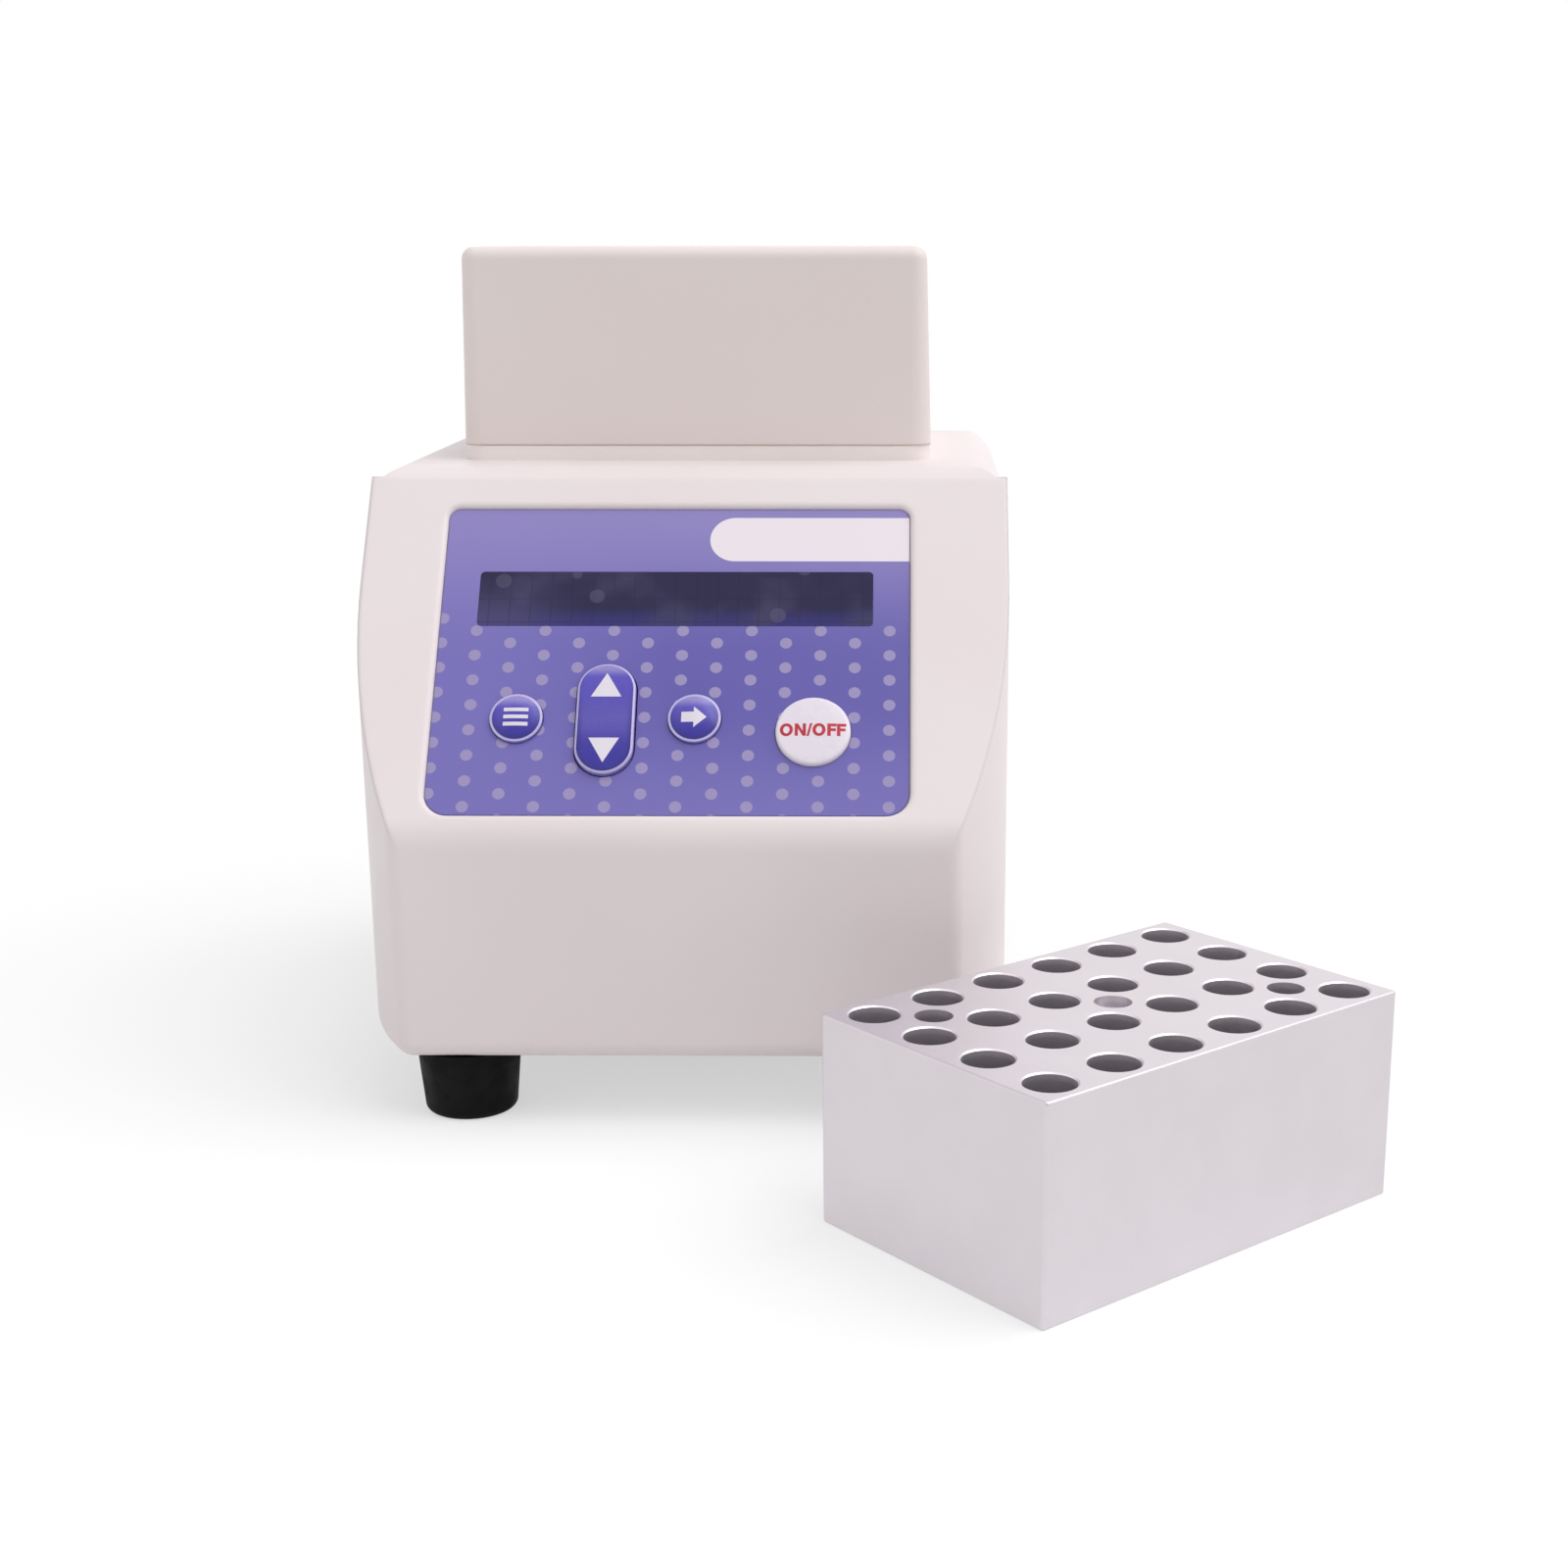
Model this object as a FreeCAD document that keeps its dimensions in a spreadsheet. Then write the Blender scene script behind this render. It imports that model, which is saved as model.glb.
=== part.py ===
import FreeCAD, Part
import os
import re
import Sketcher
from FreeCAD import Placement, Rotation, Vector

# Dry block heater with a hinged heated lid, standing on four feet, and its lift-out tube block.
# Millimetres. X runs to the right, Y to the back, Z up.
# The origin lies on the bench, under the middle of the heater's casing.

doc = FreeCAD.newDocument("DryBlockHeater")
sheet = doc.addObject("Spreadsheet::Sheet", "Sizes")

SIZES = {
    # casing
    "body_width": 112.8,
    "body_depth": 131,
    "body_bottom": 12,
    "deck_height": 107.6,
    "visor_drop": 1.8,
    "crease_radius": 8,
    "deck_blend": 6,
    "panel_tilt": 38.5,
    "side_arc": 53.5,
    "widest_behind_front": 30,
    "front_corner": 3,
    "rear_corner": 12,
    "deck_side_edge": 6,
    "deck_rear_edge": 3.5,
    "visor_brim": 0.5,
    "bottom_edge": 3,
    "wall": 2.4,
    "panel_wall": 3.4,
    "floor_thick": 5,
    # front panel, in the plane of the slanted face
    "panel_x": -1.46,
    "face_low_margin": 3.65,
    "face_high_margin": 5.78,
    "overlay_width": 81,
    "overlay_height": 59.3,
    "overlay_thick": 0.5,
    "overlay_top_corner": 2,
    "overlay_bottom_corner": 4,
    "recess_depth": 1.2,
    "recess_margin": 0.2,
    "recess_rim": 0.8,
    "window_width": 68.4,
    "window_height": 10.7,
    "window_y": 11.65,
    "key_gap": 0.3,
    "film_gap": 0.12,
    "key_lip": 1.2,
    "key_proud": 1.1,
    "small_key_radius": 4.5,
    "program_x": -26.1,
    "next_x": 4.15,
    "small_key_y": -11.8,
    "rocker_x": -10.95,
    "rocker_y": -12,
    "rocker_width": 10,
    "rocker_height": 20.8,
    "rocker_reach": 6.6,
    "rocker_pin": 0.8,
    "clip_width": 1.6,
    "power_x": 24.3,
    "power_y": -14.2,
    "power_radius": 6.4,
    "board_depth": 9,
    "board_thick": 1.6,
    "panel_board_width": 78,
    "panel_board_height": 54,
    "panel_board_y": -1,
    "panel_post_x": 36,
    "panel_post_low": -25,
    "panel_post_high": 23,
    # block well and what warms and cools it
    "well_y": 24.5,
    "well_length": 76.4,
    "well_width": 50.3,
    "well_floor": 77,
    "liner_wall": 2,
    "collar_rise": 2.6,
    "jacket_room": 1.2,
    "seat_length": 98,
    "seat_width": 58,
    "seat_thick": 8,
    "seat_rise": 0.6,
    "seat_gap": 0.3,
    "module_side": 30,
    "module_thick": 3.9,
    "module_x": 20,
    "sink_base": 5,
    "fin_height": 24,
    "fin_thick": 1.5,
    "fin_pitch": 5,
    "sink_width": 62,
    "post_x": 35.5,
    "post_y": 22,
    "post_spread": 12,
    "fan_side": 50,
    "fan_thick": 15,
    "fan_y": 18,
    "fan_bore": 23.5,
    "fan_hub": 11,
    "blade_tip": 22.8,
    # lid and hinge
    "lid_length": 86,
    "lid_width": 62,
    "lid_gap": 0.2,
    "lid_height": 35.1,
    "lid_draft": 1.4,
    "lid_corner": 3.5,
    "lid_top_edge": 2.2,
    "lid_wall": 2.2,
    "lid_cavity": 8.6,
    "lid_plate_thick": 3,
    "hinge_y": 59.5,
    "hinge_rise": 6.2,
    "hinge_barrel": 3.4,
    "pin_radius": 1.5,
    "running_gap": 0.05,
    "ear_x": 24,
    "ear_width": 10,
    "lug_width": 5,
    # underside
    "foot_x": 37.5,
    "foot_y": 55.5,
    "foot_top_radius": 9,
    "foot_sole_radius": 8,
    "plate_length": 92,
    "plate_width": 90,
    "plate_thick": 2.4,
    "ledge": 6,
    "plate_corner": 4,
    "base_screw_inset": 3.6,
    # boards, inlet
    "main_board_length": 84,
    "main_board_width": 28,
    "main_board_y": -23.5,
    "main_board_z": 22,
    "inlet_x": -36.5,
    "inlet_z": 36,
    "inlet_radius": 5.5,
    # tube block, where it stands on the bench
    "block_x": 70.37,
    "block_y": -99.09,
    "block_turn": 40.52,
    "block_length": 75.4,
    "block_width": 49.3,
    "block_height": 34,
    "well_pitch": 12.7,
    "tube_radius": 3.95,
    "tube_depth": 24,
    "probe_radius": 2.97,
    "probe_depth": 26,
    "recess_floor": 1.6,
}

for row, (alias, number) in enumerate(SIZES.items(), 1):
    sheet.set(f"A{row}", alias)
    sheet.set(f"B{row}", str(number))
    sheet.setAlias(f"B{row}", alias)
doc.recompute()

WORD = re.compile(r"[a-z][a-z_]*")
EAST = Rotation(Vector(0, 1, 0), 90)
NORTH = Rotation(Vector(1, 0, 0), -90)
UPRIGHT = Rotation()
nodes = []


def bound(text):
    """The expression with every size name pointing at its cell."""
    def cell(word):
        return "Sizes." + word.group() if word.group() in SIZES else word.group()

    return WORD.sub(cell, str(text))


def value(text):
    """What an expression comes to at the sheet's present sizes."""
    return float(sheet.evalExpression(bound(text)))


def bind(item, field, text):
    item.setExpression(field, bound(text))


def place(item, x, y, z):
    bind(item, "Placement.Base.x", x)
    bind(item, "Placement.Base.y", y)
    bind(item, "Placement.Base.z", z)
    return item


def node(item, label):
    """Marks an object as a finished piece of the assembly."""
    item.Label = label
    nodes.append(item)
    return item


# Solid primitives and how they are joined

def box(name, length, width, height, x, y, z):
    """A block centred on x and y that stands on z."""
    item = doc.addObject("Part::Box", name)
    bind(item, "Length", length)
    bind(item, "Width", width)
    bind(item, "Height", height)
    return place(item, f"({x}) - ({length}) / 2", f"({y}) - ({width}) / 2", z)


def rod(name, radius, length, x, y, z, turn=UPRIGHT):
    """A cylinder that starts at x, y, z and runs up, or along the turned axis."""
    item = doc.addObject("Part::Cylinder", name)
    bind(item, "Radius", radius)
    bind(item, "Height", length)
    item.Placement = Placement(Vector(), turn)
    return place(item, x, y, z)


def cone(name, radius_low, radius_high, length, x, y, z):
    item = doc.addObject("Part::Cone", name)
    bind(item, "Radius1", radius_low)
    bind(item, "Radius2", radius_high)
    bind(item, "Height", length)
    return place(item, x, y, z)


def fuse(name, *items):
    item = doc.addObject("Part::MultiFuse", name)
    item.Shapes = list(items)
    item.Refine = True
    return item


def group(name, *items):
    item = doc.addObject("Part::Compound", name)
    item.Links = list(items)
    return item


def cut(name, base, *tools):
    item = doc.addObject("Part::Cut", name)
    item.Base = base
    item.Tool = tools[0] if len(tools) == 1 else fuse(name + "_tools", *tools)
    item.Refine = True
    return item


def corners(x, y, middle_y="0"):
    """The four places at plus and minus x, and at plus and minus y from a middle line."""
    return [(f"{i} * ({x})", f"({middle_y}) + {j} * ({y})") for j in (-1, 1) for i in (-1, 1)]


def screw(name, radius, head_radius, head_height, length, x, y, z, head_up=True):
    """A screw whose head sits on z: the shank runs down from there, or up when the head is below."""
    if head_up:
        shank = rod(name + "_shank", radius, length, x, y, f"({z}) - ({length})")
        head = rod(name + "_head", head_radius, head_height, x, y, z)
    else:
        shank = rod(name + "_shank", radius, length, x, y, z)
        head = rod(name + "_head", head_radius, head_height, x, y, f"({z}) - ({head_height})")
    return fuse(name, shank, head)


# Sketched bodies

def new_body(name):
    return doc.addObject("PartDesign::Body", name)


def sketch(body, name, plane="XY_Plane", offset="0"):
    """A sketch on one of the body's own origin planes, moved along that plane's normal."""
    item = body.newObject("Sketcher::SketchObject", name)
    support = [each for each in body.Origin.OriginFeatures if each.Role == plane][0]
    item.AttachmentSupport = [(support, "")]
    item.MapMode = "FlatFace"
    bind(item, "AttachmentOffset.Base.z", offset)
    item.Visibility = False
    return item


def hold_point(item, geometry, end, x, y):
    """Ties one point of a sketch to its place with two bound distances."""
    for kind, text in (("DistanceX", x), ("DistanceY", y)):
        index = item.addConstraint(Sketcher.Constraint(kind, -1, 1, geometry, end, value(text)))
        bind(item, f"Constraints[{index}]", text)


def draw(item, points, arcs=None):
    """A closed outline through the points, anticlockwise round its area.

    arcs gives the radius of each stretch that is round, by the number of its first point;
    a radius led by a minus sign bulges into the area.
    """
    arcs = arcs or {}
    places = [Vector(value(x), value(y), 0) for x, y in points]
    count = len(points)
    starts = []
    for i in range(count):
        a, b = places[i], places[(i + 1) % count]
        if i not in arcs:
            starts.append((item.addGeometry(Part.LineSegment(a, b)), 1, 2))
            continue
        hollow = arcs[i].startswith("-")
        radius_text = arcs[i].lstrip("-")
        radius = value(radius_text)
        chord = b - a
        left = Vector(-chord.y, chord.x, 0).normalize()
        reach = (radius ** 2 - (chord.Length / 2) ** 2) ** 0.5
        middle = (a + b) / 2
        centre = middle - left * reach if hollow else middle + left * reach
        bulge = centre + left * radius if hollow else centre - left * radius
        number = item.addGeometry(Part.Arc(b, bulge, a) if hollow else Part.Arc(a, bulge, b))
        starts.append((number, 2, 1) if hollow else (number, 1, 2))
        index = item.addConstraint(Sketcher.Constraint("Radius", number, radius))
        bind(item, f"Constraints[{index}]", radius_text)
    for i in range(count):
        this, following = starts[i], starts[(i + 1) % count]
        item.addConstraint(Sketcher.Constraint("Coincident", this[0], this[2], following[0], following[1]))
        hold_point(item, this[0], this[1], *points[i])


def draw_circle(item, x, y, radius):
    circle = Part.Circle(Vector(value(x), value(y), 0), Vector(0, 0, 1), value(radius))
    number = item.addGeometry(circle)
    hold_point(item, number, 3, x, y)
    index = item.addConstraint(Sketcher.Constraint("Radius", number, value(radius)))
    bind(item, f"Constraints[{index}]", radius)


def draw_rounded(item, width, height, x, y, low_corner, high_corner=None):
    """A rectangle about x, y with round corners, which may differ between its low and high ends."""
    high_corner = high_corner or low_corner
    left, right = f"({x}) - ({width}) / 2", f"({x}) + ({width}) / 2"
    low, high = f"({y}) - ({height}) / 2", f"({y}) + ({height}) / 2"
    points = [
        (f"{left} + ({low_corner})", low),
        (f"{right} - ({low_corner})", low),
        (right, f"{low} + ({low_corner})"),
        (right, f"{high} - ({high_corner})"),
        (f"{right} - ({high_corner})", high),
        (f"{left} + ({high_corner})", high),
        (left, f"{high} - ({high_corner})"),
        (left, f"{low} + ({low_corner})"),
    ]
    draw(item, points, {1: low_corner, 3: high_corner, 5: high_corner, 7: low_corner})


def pad(body, profile, length, taper=None):
    item = body.newObject("PartDesign::Pad", profile.Name + "_pad")
    item.Profile = profile
    bind(item, "Length", length)
    if taper:
        bind(item, "TaperAngle", taper)
    body.Tip = item
    return item


def pocket(body, profile, length):
    """Cuts the profile out of the body along its own normal."""
    item = body.newObject("PartDesign::Pocket", profile.Name + "_pocket")
    item.Profile = profile
    item.Reversed = True
    bind(item, "Length", length)
    body.Tip = item
    return item


def revolve(body, profile):
    """Turns a profile about the upright axis of its sketch."""
    item = body.newObject("PartDesign::Revolution", profile.Name + "_turned")
    item.Profile = profile
    item.ReferenceAxis = (profile, ["V_Axis"])
    item.Angle = 360
    body.Tip = item
    return item


def round_off(body, name, radius, wanted):
    """Rounds the edges of a body's last feature that the test picks."""
    doc.recompute()
    base = body.Tip
    names = [f"Edge{i}" for i, edge in enumerate(base.Shape.Edges, 1) if wanted(edge)]
    item = body.newObject("PartDesign::Fillet", name)
    item.Base = (base, names)
    bind(item, "Radius", radius)
    body.Tip = item
    return item


def rounded_plate(name, length, width, thick, x, y, z, corner):
    body = new_body(name)
    profile = sketch(body, name + "_outline", offset=z)
    draw_rounded(profile, length, width, x, y, corner)
    pad(body, profile, thick)
    return body


# The frame of the slanted panel: x right, y up the slope, z out of the face

FACE_LENGTH = "(face_low_margin + overlay_height + 2 * recess_margin + face_high_margin)"
VISOR_TOP = "(deck_height - visor_drop)"
VISOR_Y = f"(-body_depth / 2 + {FACE_LENGTH} * sin(panel_tilt))"
CREASE = f"({VISOR_TOP} - {FACE_LENGTH} * cos(panel_tilt))"
PANEL_RISE = "(face_low_margin + recess_margin + overlay_height / 2)"
PANEL_Y = f"-body_depth / 2 + {PANEL_RISE} * sin(panel_tilt)"
PANEL_Z = f"{CREASE} + {PANEL_RISE} * cos(panel_tilt)"


# The arrow rocker's pivot, just behind the panel wall
ROCKER_AXIS = "(-panel_wall - 1)"
ROCKER_LIP = "(rocker_width + 1.6 * key_lip)"
CLIP_SHIFT = f"({ROCKER_LIP} / 2 + key_gap + clip_width / 2)"
ROCKER_PINS = f"(2 * {CLIP_SHIFT} + clip_width)"


def on_panel(item):
    item.Placement = Placement(Vector(), Rotation(Vector(1, 0, 0), 90 - value("panel_tilt")))
    place(item, "panel_x", PANEL_Y, PANEL_Z)
    bind(item, "Placement.Rotation.Angle", "90 - panel_tilt")
    return item


# Upper housing: one moulded shell with a slanted face, a flat deck and a floor rim

BASE_SCREW = ("plate_length / 2 - base_screw_inset", "plate_width / 2 - base_screw_inset")
BASE_BOSS_TOP = "(main_board_z - 1)"
ARC_MIDDLE_X = "(body_width / 2 - side_arc)"
ARC_MIDDLE_Y = "(-body_depth / 2 + widest_behind_front)"
ARC_SPAN = "(side_arc - front_corner)"
FLAT_HALF = f"({ARC_MIDDLE_X} + sqrt({ARC_SPAN}^2 - (widest_behind_front - front_corner)^2))"


def casing_outline(inset):
    """The casing in plan: flat front, small front corners, bowed cheeks, straight flanks, round back."""
    side = f"(body_width / 2 - {inset})"
    front = f"(-body_depth / 2 + {inset})"
    back = f"(body_depth / 2 - {inset})"
    arc = f"(side_arc - {inset})"
    corner = f"(front_corner - {inset})"
    rear = f"(rear_corner - {inset})"
    join_x = f"({ARC_MIDDLE_X} + {arc} * ({FLAT_HALF} - {ARC_MIDDLE_X}) / {ARC_SPAN})"
    join_y = f"({ARC_MIDDLE_Y} + {arc} * (front_corner - widest_behind_front) / {ARC_SPAN})"
    points = [
        (f"-{FLAT_HALF}", front),
        (FLAT_HALF, front),
        (join_x, join_y),
        (side, ARC_MIDDLE_Y),
        (side, f"{back} - {rear}"),
        (f"{side} - {rear}", back),
        (f"{rear} - {side}", back),
        (f"-{side}", f"{back} - {rear}"),
        (f"-{side}", ARC_MIDDLE_Y),
        (f"-{join_x}", join_y),
    ]
    return points, {1: corner, 2: arc, 4: rear, 6: rear, 8: arc, 9: corner}


def round_flanks(body, name, flank, top, radius, front):
    """Rounds the two long top edges of a body, from behind it up to a plane across its front."""
    clear = "20"
    profile = sketch(body, name, "XZ_Plane", "-body_depth")
    draw(
        profile,
        [
            (flank, f"{top} - {radius}"),
            (f"{flank} + {clear}", f"{top} - {radius}"),
            (f"{flank} + {clear}", f"{top} + {clear}"),
            (f"{flank} - {radius}", f"{top} + {clear}"),
            (f"{flank} - {radius}", top),
        ],
        {4: f"-{radius}"},
    )
    draw(
        profile,
        [
            (f"-{flank} + {radius}", top),
            (f"-{flank} + {radius}", f"{top} + {clear}"),
            (f"-{flank} - {clear}", f"{top} + {clear}"),
            (f"-{flank} - {clear}", f"{top} - {radius}"),
            (f"-{flank}", f"{top} - {radius}"),
        ],
        {4: f"-{radius}"},
    )
    pocket(body, profile, f"body_depth - {front}")


def outer_casing():
    body = new_body("casing_outer")
    plan = sketch(body, "casing_plan", offset="body_bottom")
    draw(plan, *casing_outline("0"))
    pad(body, plan, "deck_height - body_bottom")

    round_off(
        body,
        "casing_bottom_edge",
        "bottom_edge",
        lambda edge: max(abs(v.Z - value("body_bottom")) for v in edge.Vertexes) < 0.01,
    )

    front = "(-body_depth / 2)"
    back = "(body_depth / 2)"
    run = "(crease_radius * tan(panel_tilt / 2))"
    blend = "((visor_drop^2 + deck_blend^2) / (2 * visor_drop))"
    clear = "20"
    side_cut = sketch(body, "casing_side_cut", "YZ_Plane", "-body_width")
    draw(
        side_cut,
        [
            (front, f"{CREASE} - {run}"),
            (f"{front} + {run} * sin(panel_tilt)", f"{CREASE} + {run} * cos(panel_tilt)"),
            (VISOR_Y, VISOR_TOP),
            (f"{VISOR_Y} + deck_blend", "deck_height"),
            (f"{VISOR_Y} + deck_blend", f"deck_height + {clear}"),
            (f"{front} - {clear}", f"deck_height + {clear}"),
            (f"{front} - {clear}", f"{CREASE} - {run}"),
        ],
        {0: "-crease_radius", 2: f"-{blend}"},
    )
    draw(
        side_cut,
        [
            (back, "deck_height - deck_rear_edge"),
            (f"{back} + {clear}", "deck_height - deck_rear_edge"),
            (f"{back} + {clear}", f"deck_height + {clear}"),
            (f"{back} - deck_rear_edge", f"deck_height + {clear}"),
            (f"{back} - deck_rear_edge", "deck_height"),
        ],
        {4: "-deck_rear_edge"},
    )
    pocket(body, side_cut, "2 * body_width")

    # behind the brim of the visor, whose own corners stay sharp
    brim = f"({VISOR_Y} + visor_brim)"
    round_flanks(body, "casing_top_cut", "(body_width / 2)", "deck_height", "deck_side_edge", brim)
    return body


def inner_casing():
    """The hollow of the housing, with a thicker wall behind the slanted panel."""
    body = new_body("casing_inner")
    plan = sketch(body, "hollow_plan", offset="body_bottom + floor_thick")
    draw(plan, *casing_outline("wall"))
    pad(body, plan, "deck_height - wall - body_bottom - floor_thick")

    front = "(-body_depth / 2)"
    bend = "((wall - panel_wall * cos(panel_tilt)) / tan(panel_tilt))"
    low = f"({CREASE} - panel_wall * sin(panel_tilt) + {bend})"
    high = "(deck_height - wall)"
    high_y = f"({front} + wall + ({high} - {low}) * tan(panel_tilt))"
    clear = "20"
    side_cut = sketch(body, "hollow_side_cut", "YZ_Plane", "-body_width")
    draw(
        side_cut,
        [
            (f"{front} + wall", low),
            (high_y, high),
            (high_y, f"{high} + {clear}"),
            (f"{front} - {clear}", f"{high} + {clear}"),
            (f"{front} - {clear}", low),
        ],
    )
    pocket(body, side_cut, "2 * body_width")

    flank = "(body_width / 2 - wall)"
    top = "(deck_height - wall)"
    round_flanks(body, "hollow_top_cut", flank, top, "(deck_side_edge - wall)", "(-body_depth)")
    return body


def panel_cutters():
    """What is cut through the slanted face behind the overlay: the window and the key holes."""
    body = new_body("panel_holes")
    profile = sketch(body, "panel_holes_outline", offset="-panel_wall - 2")
    draw_rounded(profile, "window_width - 2", "window_height - 2", "0", "window_y", "0.8")
    draw_circle(profile, "program_x", "small_key_y", "small_key_radius + key_gap")
    draw_circle(profile, "next_x", "small_key_y", "small_key_radius + key_gap")
    draw_circle(profile, "power_x", "power_y", "power_radius + key_gap")
    rocker_hole = ("rocker_width + 2 * key_gap", "rocker_height + 2 * key_gap")
    draw_rounded(profile, *rocker_hole, "rocker_x", "rocker_y", "rocker_width / 2 + key_gap - 0.01")
    pad(body, profile, "panel_wall + 4")
    return on_panel(body)


def panel_posts():
    """Posts behind the panel for the control board, clips for the rocker's pins, and their holes."""
    places = [(f"{i} * panel_post_x", y) for y in ("panel_post_low", "panel_post_high") for i in (-1, 1)]
    posts = []
    pilots = []
    for number, (x, y) in enumerate(places):
        length = "board_depth - panel_wall + 1"
        posts.append(rod(f"panel_post_{number}", "2.6", length, x, y, "-board_depth"))
        pilots.append(rod(f"panel_pilot_{number}", "1", "5", x, y, "-board_depth - 0.5"))
    clip_low = f"({ROCKER_AXIS} - rocker_pin - 0.6)"
    clip = ("clip_width", "4 * rocker_pin", f"-panel_wall + 0.5 - {clip_low}")
    for number, side in enumerate((-1, 1)):
        x = f"rocker_x + {side} * {CLIP_SHIFT}"
        posts.append(box(f"rocker_clip_{number}", *clip, x, "rocker_y", clip_low))
    start = f"rocker_x - {ROCKER_PINS} / 2 - 1"
    bore = ("rocker_pin + running_gap", f"{ROCKER_PINS} + 2")
    pilots.append(rod("rocker_clip_bore", *bore, start, "rocker_y", ROCKER_AXIS, EAST))
    return on_panel(group("panel_post_set", *posts)), on_panel(group("panel_pilot_set", *pilots))


def upper_housing():
    outer = outer_casing()
    recess = new_body("overlay_recess")
    profile = sketch(recess, "overlay_recess_outline", offset="-recess_depth")
    draw_rounded(
        profile,
        "overlay_width + 2 * recess_margin",
        "overlay_height + 2 * recess_margin",
        "0",
        "0",
        "overlay_bottom_corner + recess_margin",
        "overlay_top_corner + recess_margin",
    )
    pad(recess, profile, "recess_depth + 5")
    on_panel(recess)
    recessed = cut("casing_recessed", outer, recess)

    doc.recompute()
    to_panel = recess.Placement.inverse()
    half_width = value("overlay_width / 2 + recess_margin") + 0.1
    half_height = value("overlay_height / 2 + recess_margin") + 0.1
    rim = []
    for number, edge in enumerate(recessed.Shape.Edges, 1):
        spots = [to_panel.multVec(v.Point) for v in edge.Vertexes]
        inside = all(abs(p.x) < half_width and abs(p.y) < half_height for p in spots)
        if inside and all(abs(p.z) < 0.01 for p in spots):
            rim.append((number, value("recess_rim"), value("recess_rim")))
    softened = doc.addObject("Part::Fillet", "casing_softened")
    softened.Base = recessed
    softened.Edges = rim

    shell = cut("casing_shell", softened, inner_casing())

    floor_top = "(body_bottom + floor_thick)"
    additions = []
    pilots = []
    for number, (x, y) in enumerate(corners("foot_x", "foot_y")):
        additions.append(rod(f"foot_boss_{number}", "4.5", "8", x, y, f"{floor_top} - 1"))
        pilots.append(rod(f"foot_pilot_{number}", "1.5", "13", x, y, "body_bottom - 1"))
    for number, (x, y) in enumerate(corners(*BASE_SCREW)):
        rise = f"{BASE_BOSS_TOP} - {floor_top} + 1"
        additions.append(rod(f"base_boss_{number}", "3.2", rise, x, y, f"{floor_top} - 1"))
        depth = f"{BASE_BOSS_TOP} - 0.6 - body_bottom"
        pilots.append(rod(f"base_pilot_{number}", "1.25", depth, x, y, "body_bottom"))
    for number, x in enumerate(HINGE_SCREW_X):
        additions.append(rod(f"hinge_boss_{number}", "2.4", "6", x, HINGE_SCREW_Y, "deck_height - wall - 5"))
        pilots.append(rod(f"hinge_pilot_{number}", "1", "7", x, HINGE_SCREW_Y, "deck_height - 6"))
    posts, panel_pilots = panel_posts()
    built_up = fuse("casing_built_up", shell, posts, *additions)

    openings = [
        rounded_plate(
            "plate_rebate",
            "plate_length + 0.3",
            "plate_width + 0.3",
            "plate_thick + 5",
            "0",
            "0",
            "body_bottom - 5",
            "plate_corner + 0.15",
        ),
        rounded_plate(
            "floor_opening",
            "plate_length - 2 * ledge",
            "plate_width - 2 * ledge",
            "floor_thick + 5",
            "0",
            "0",
            "body_bottom - 1",
            "4",
        ),
        box(
            "deck_opening",
            "well_length + 2 * liner_wall + 0.4",
            "well_width + 2 * liner_wall + 0.4",
            "12",
            "0",
            "well_y",
            "deck_height - 10",
        ),
        rod("inlet_hole", "inlet_radius + 0.1", "12", "inlet_x", "body_depth / 2 - 8", "inlet_z", NORTH),
    ]
    for i in range(9):
        openings.append(
            box(f"rear_vent_{i}", "3", "12", "24", f"{6 * (i - 4)}", "body_depth / 2", "well_floor - 39")
        )
    opened = cut("casing_opened", built_up, panel_cutters(), panel_pilots, *openings, *pilots)
    return node(opened, "upper_housing")


# Keypad overlay, window and keys, all in the frame of the panel

def keypad_overlay():
    body = new_body("overlay_body")
    profile = sketch(body, "overlay_outline", offset="-recess_depth")
    draw_rounded(
        profile,
        "overlay_width",
        "overlay_height",
        "0",
        "0",
        "overlay_bottom_corner",
        "overlay_top_corner",
    )
    draw_rounded(profile, "window_width + 0.1", "window_height + 0.1", "0", "window_y", "0.8")
    draw_circle(profile, "program_x", "small_key_y", "small_key_radius + film_gap")
    draw_circle(profile, "next_x", "small_key_y", "small_key_radius + film_gap")
    draw_circle(profile, "power_x", "power_y", "power_radius + film_gap")
    rocker_hole = ("rocker_width + 4 * film_gap", "rocker_height + 4 * film_gap")
    draw_rounded(profile, *rocker_hole, "rocker_x", "rocker_y", "rocker_width / 2 + 2 * film_gap - 0.01")
    pad(body, profile, "overlay_thick")
    node(on_panel(body), "keypad_overlay")


def display_window():
    body = new_body("window_body")
    profile = sketch(body, "window_outline", offset="-recess_depth")
    draw_rounded(profile, "window_width", "window_height", "0", "window_y", "0.8")
    pad(body, profile, "overlay_thick")
    node(on_panel(body), "display_window")


KEY_FACE = "(overlay_thick - recess_depth + key_proud)"
KEY_LIP_TOP = "(-panel_wall - 0.4)"
KEY_FOOT = "(-panel_wall - 1.2)"


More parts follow.
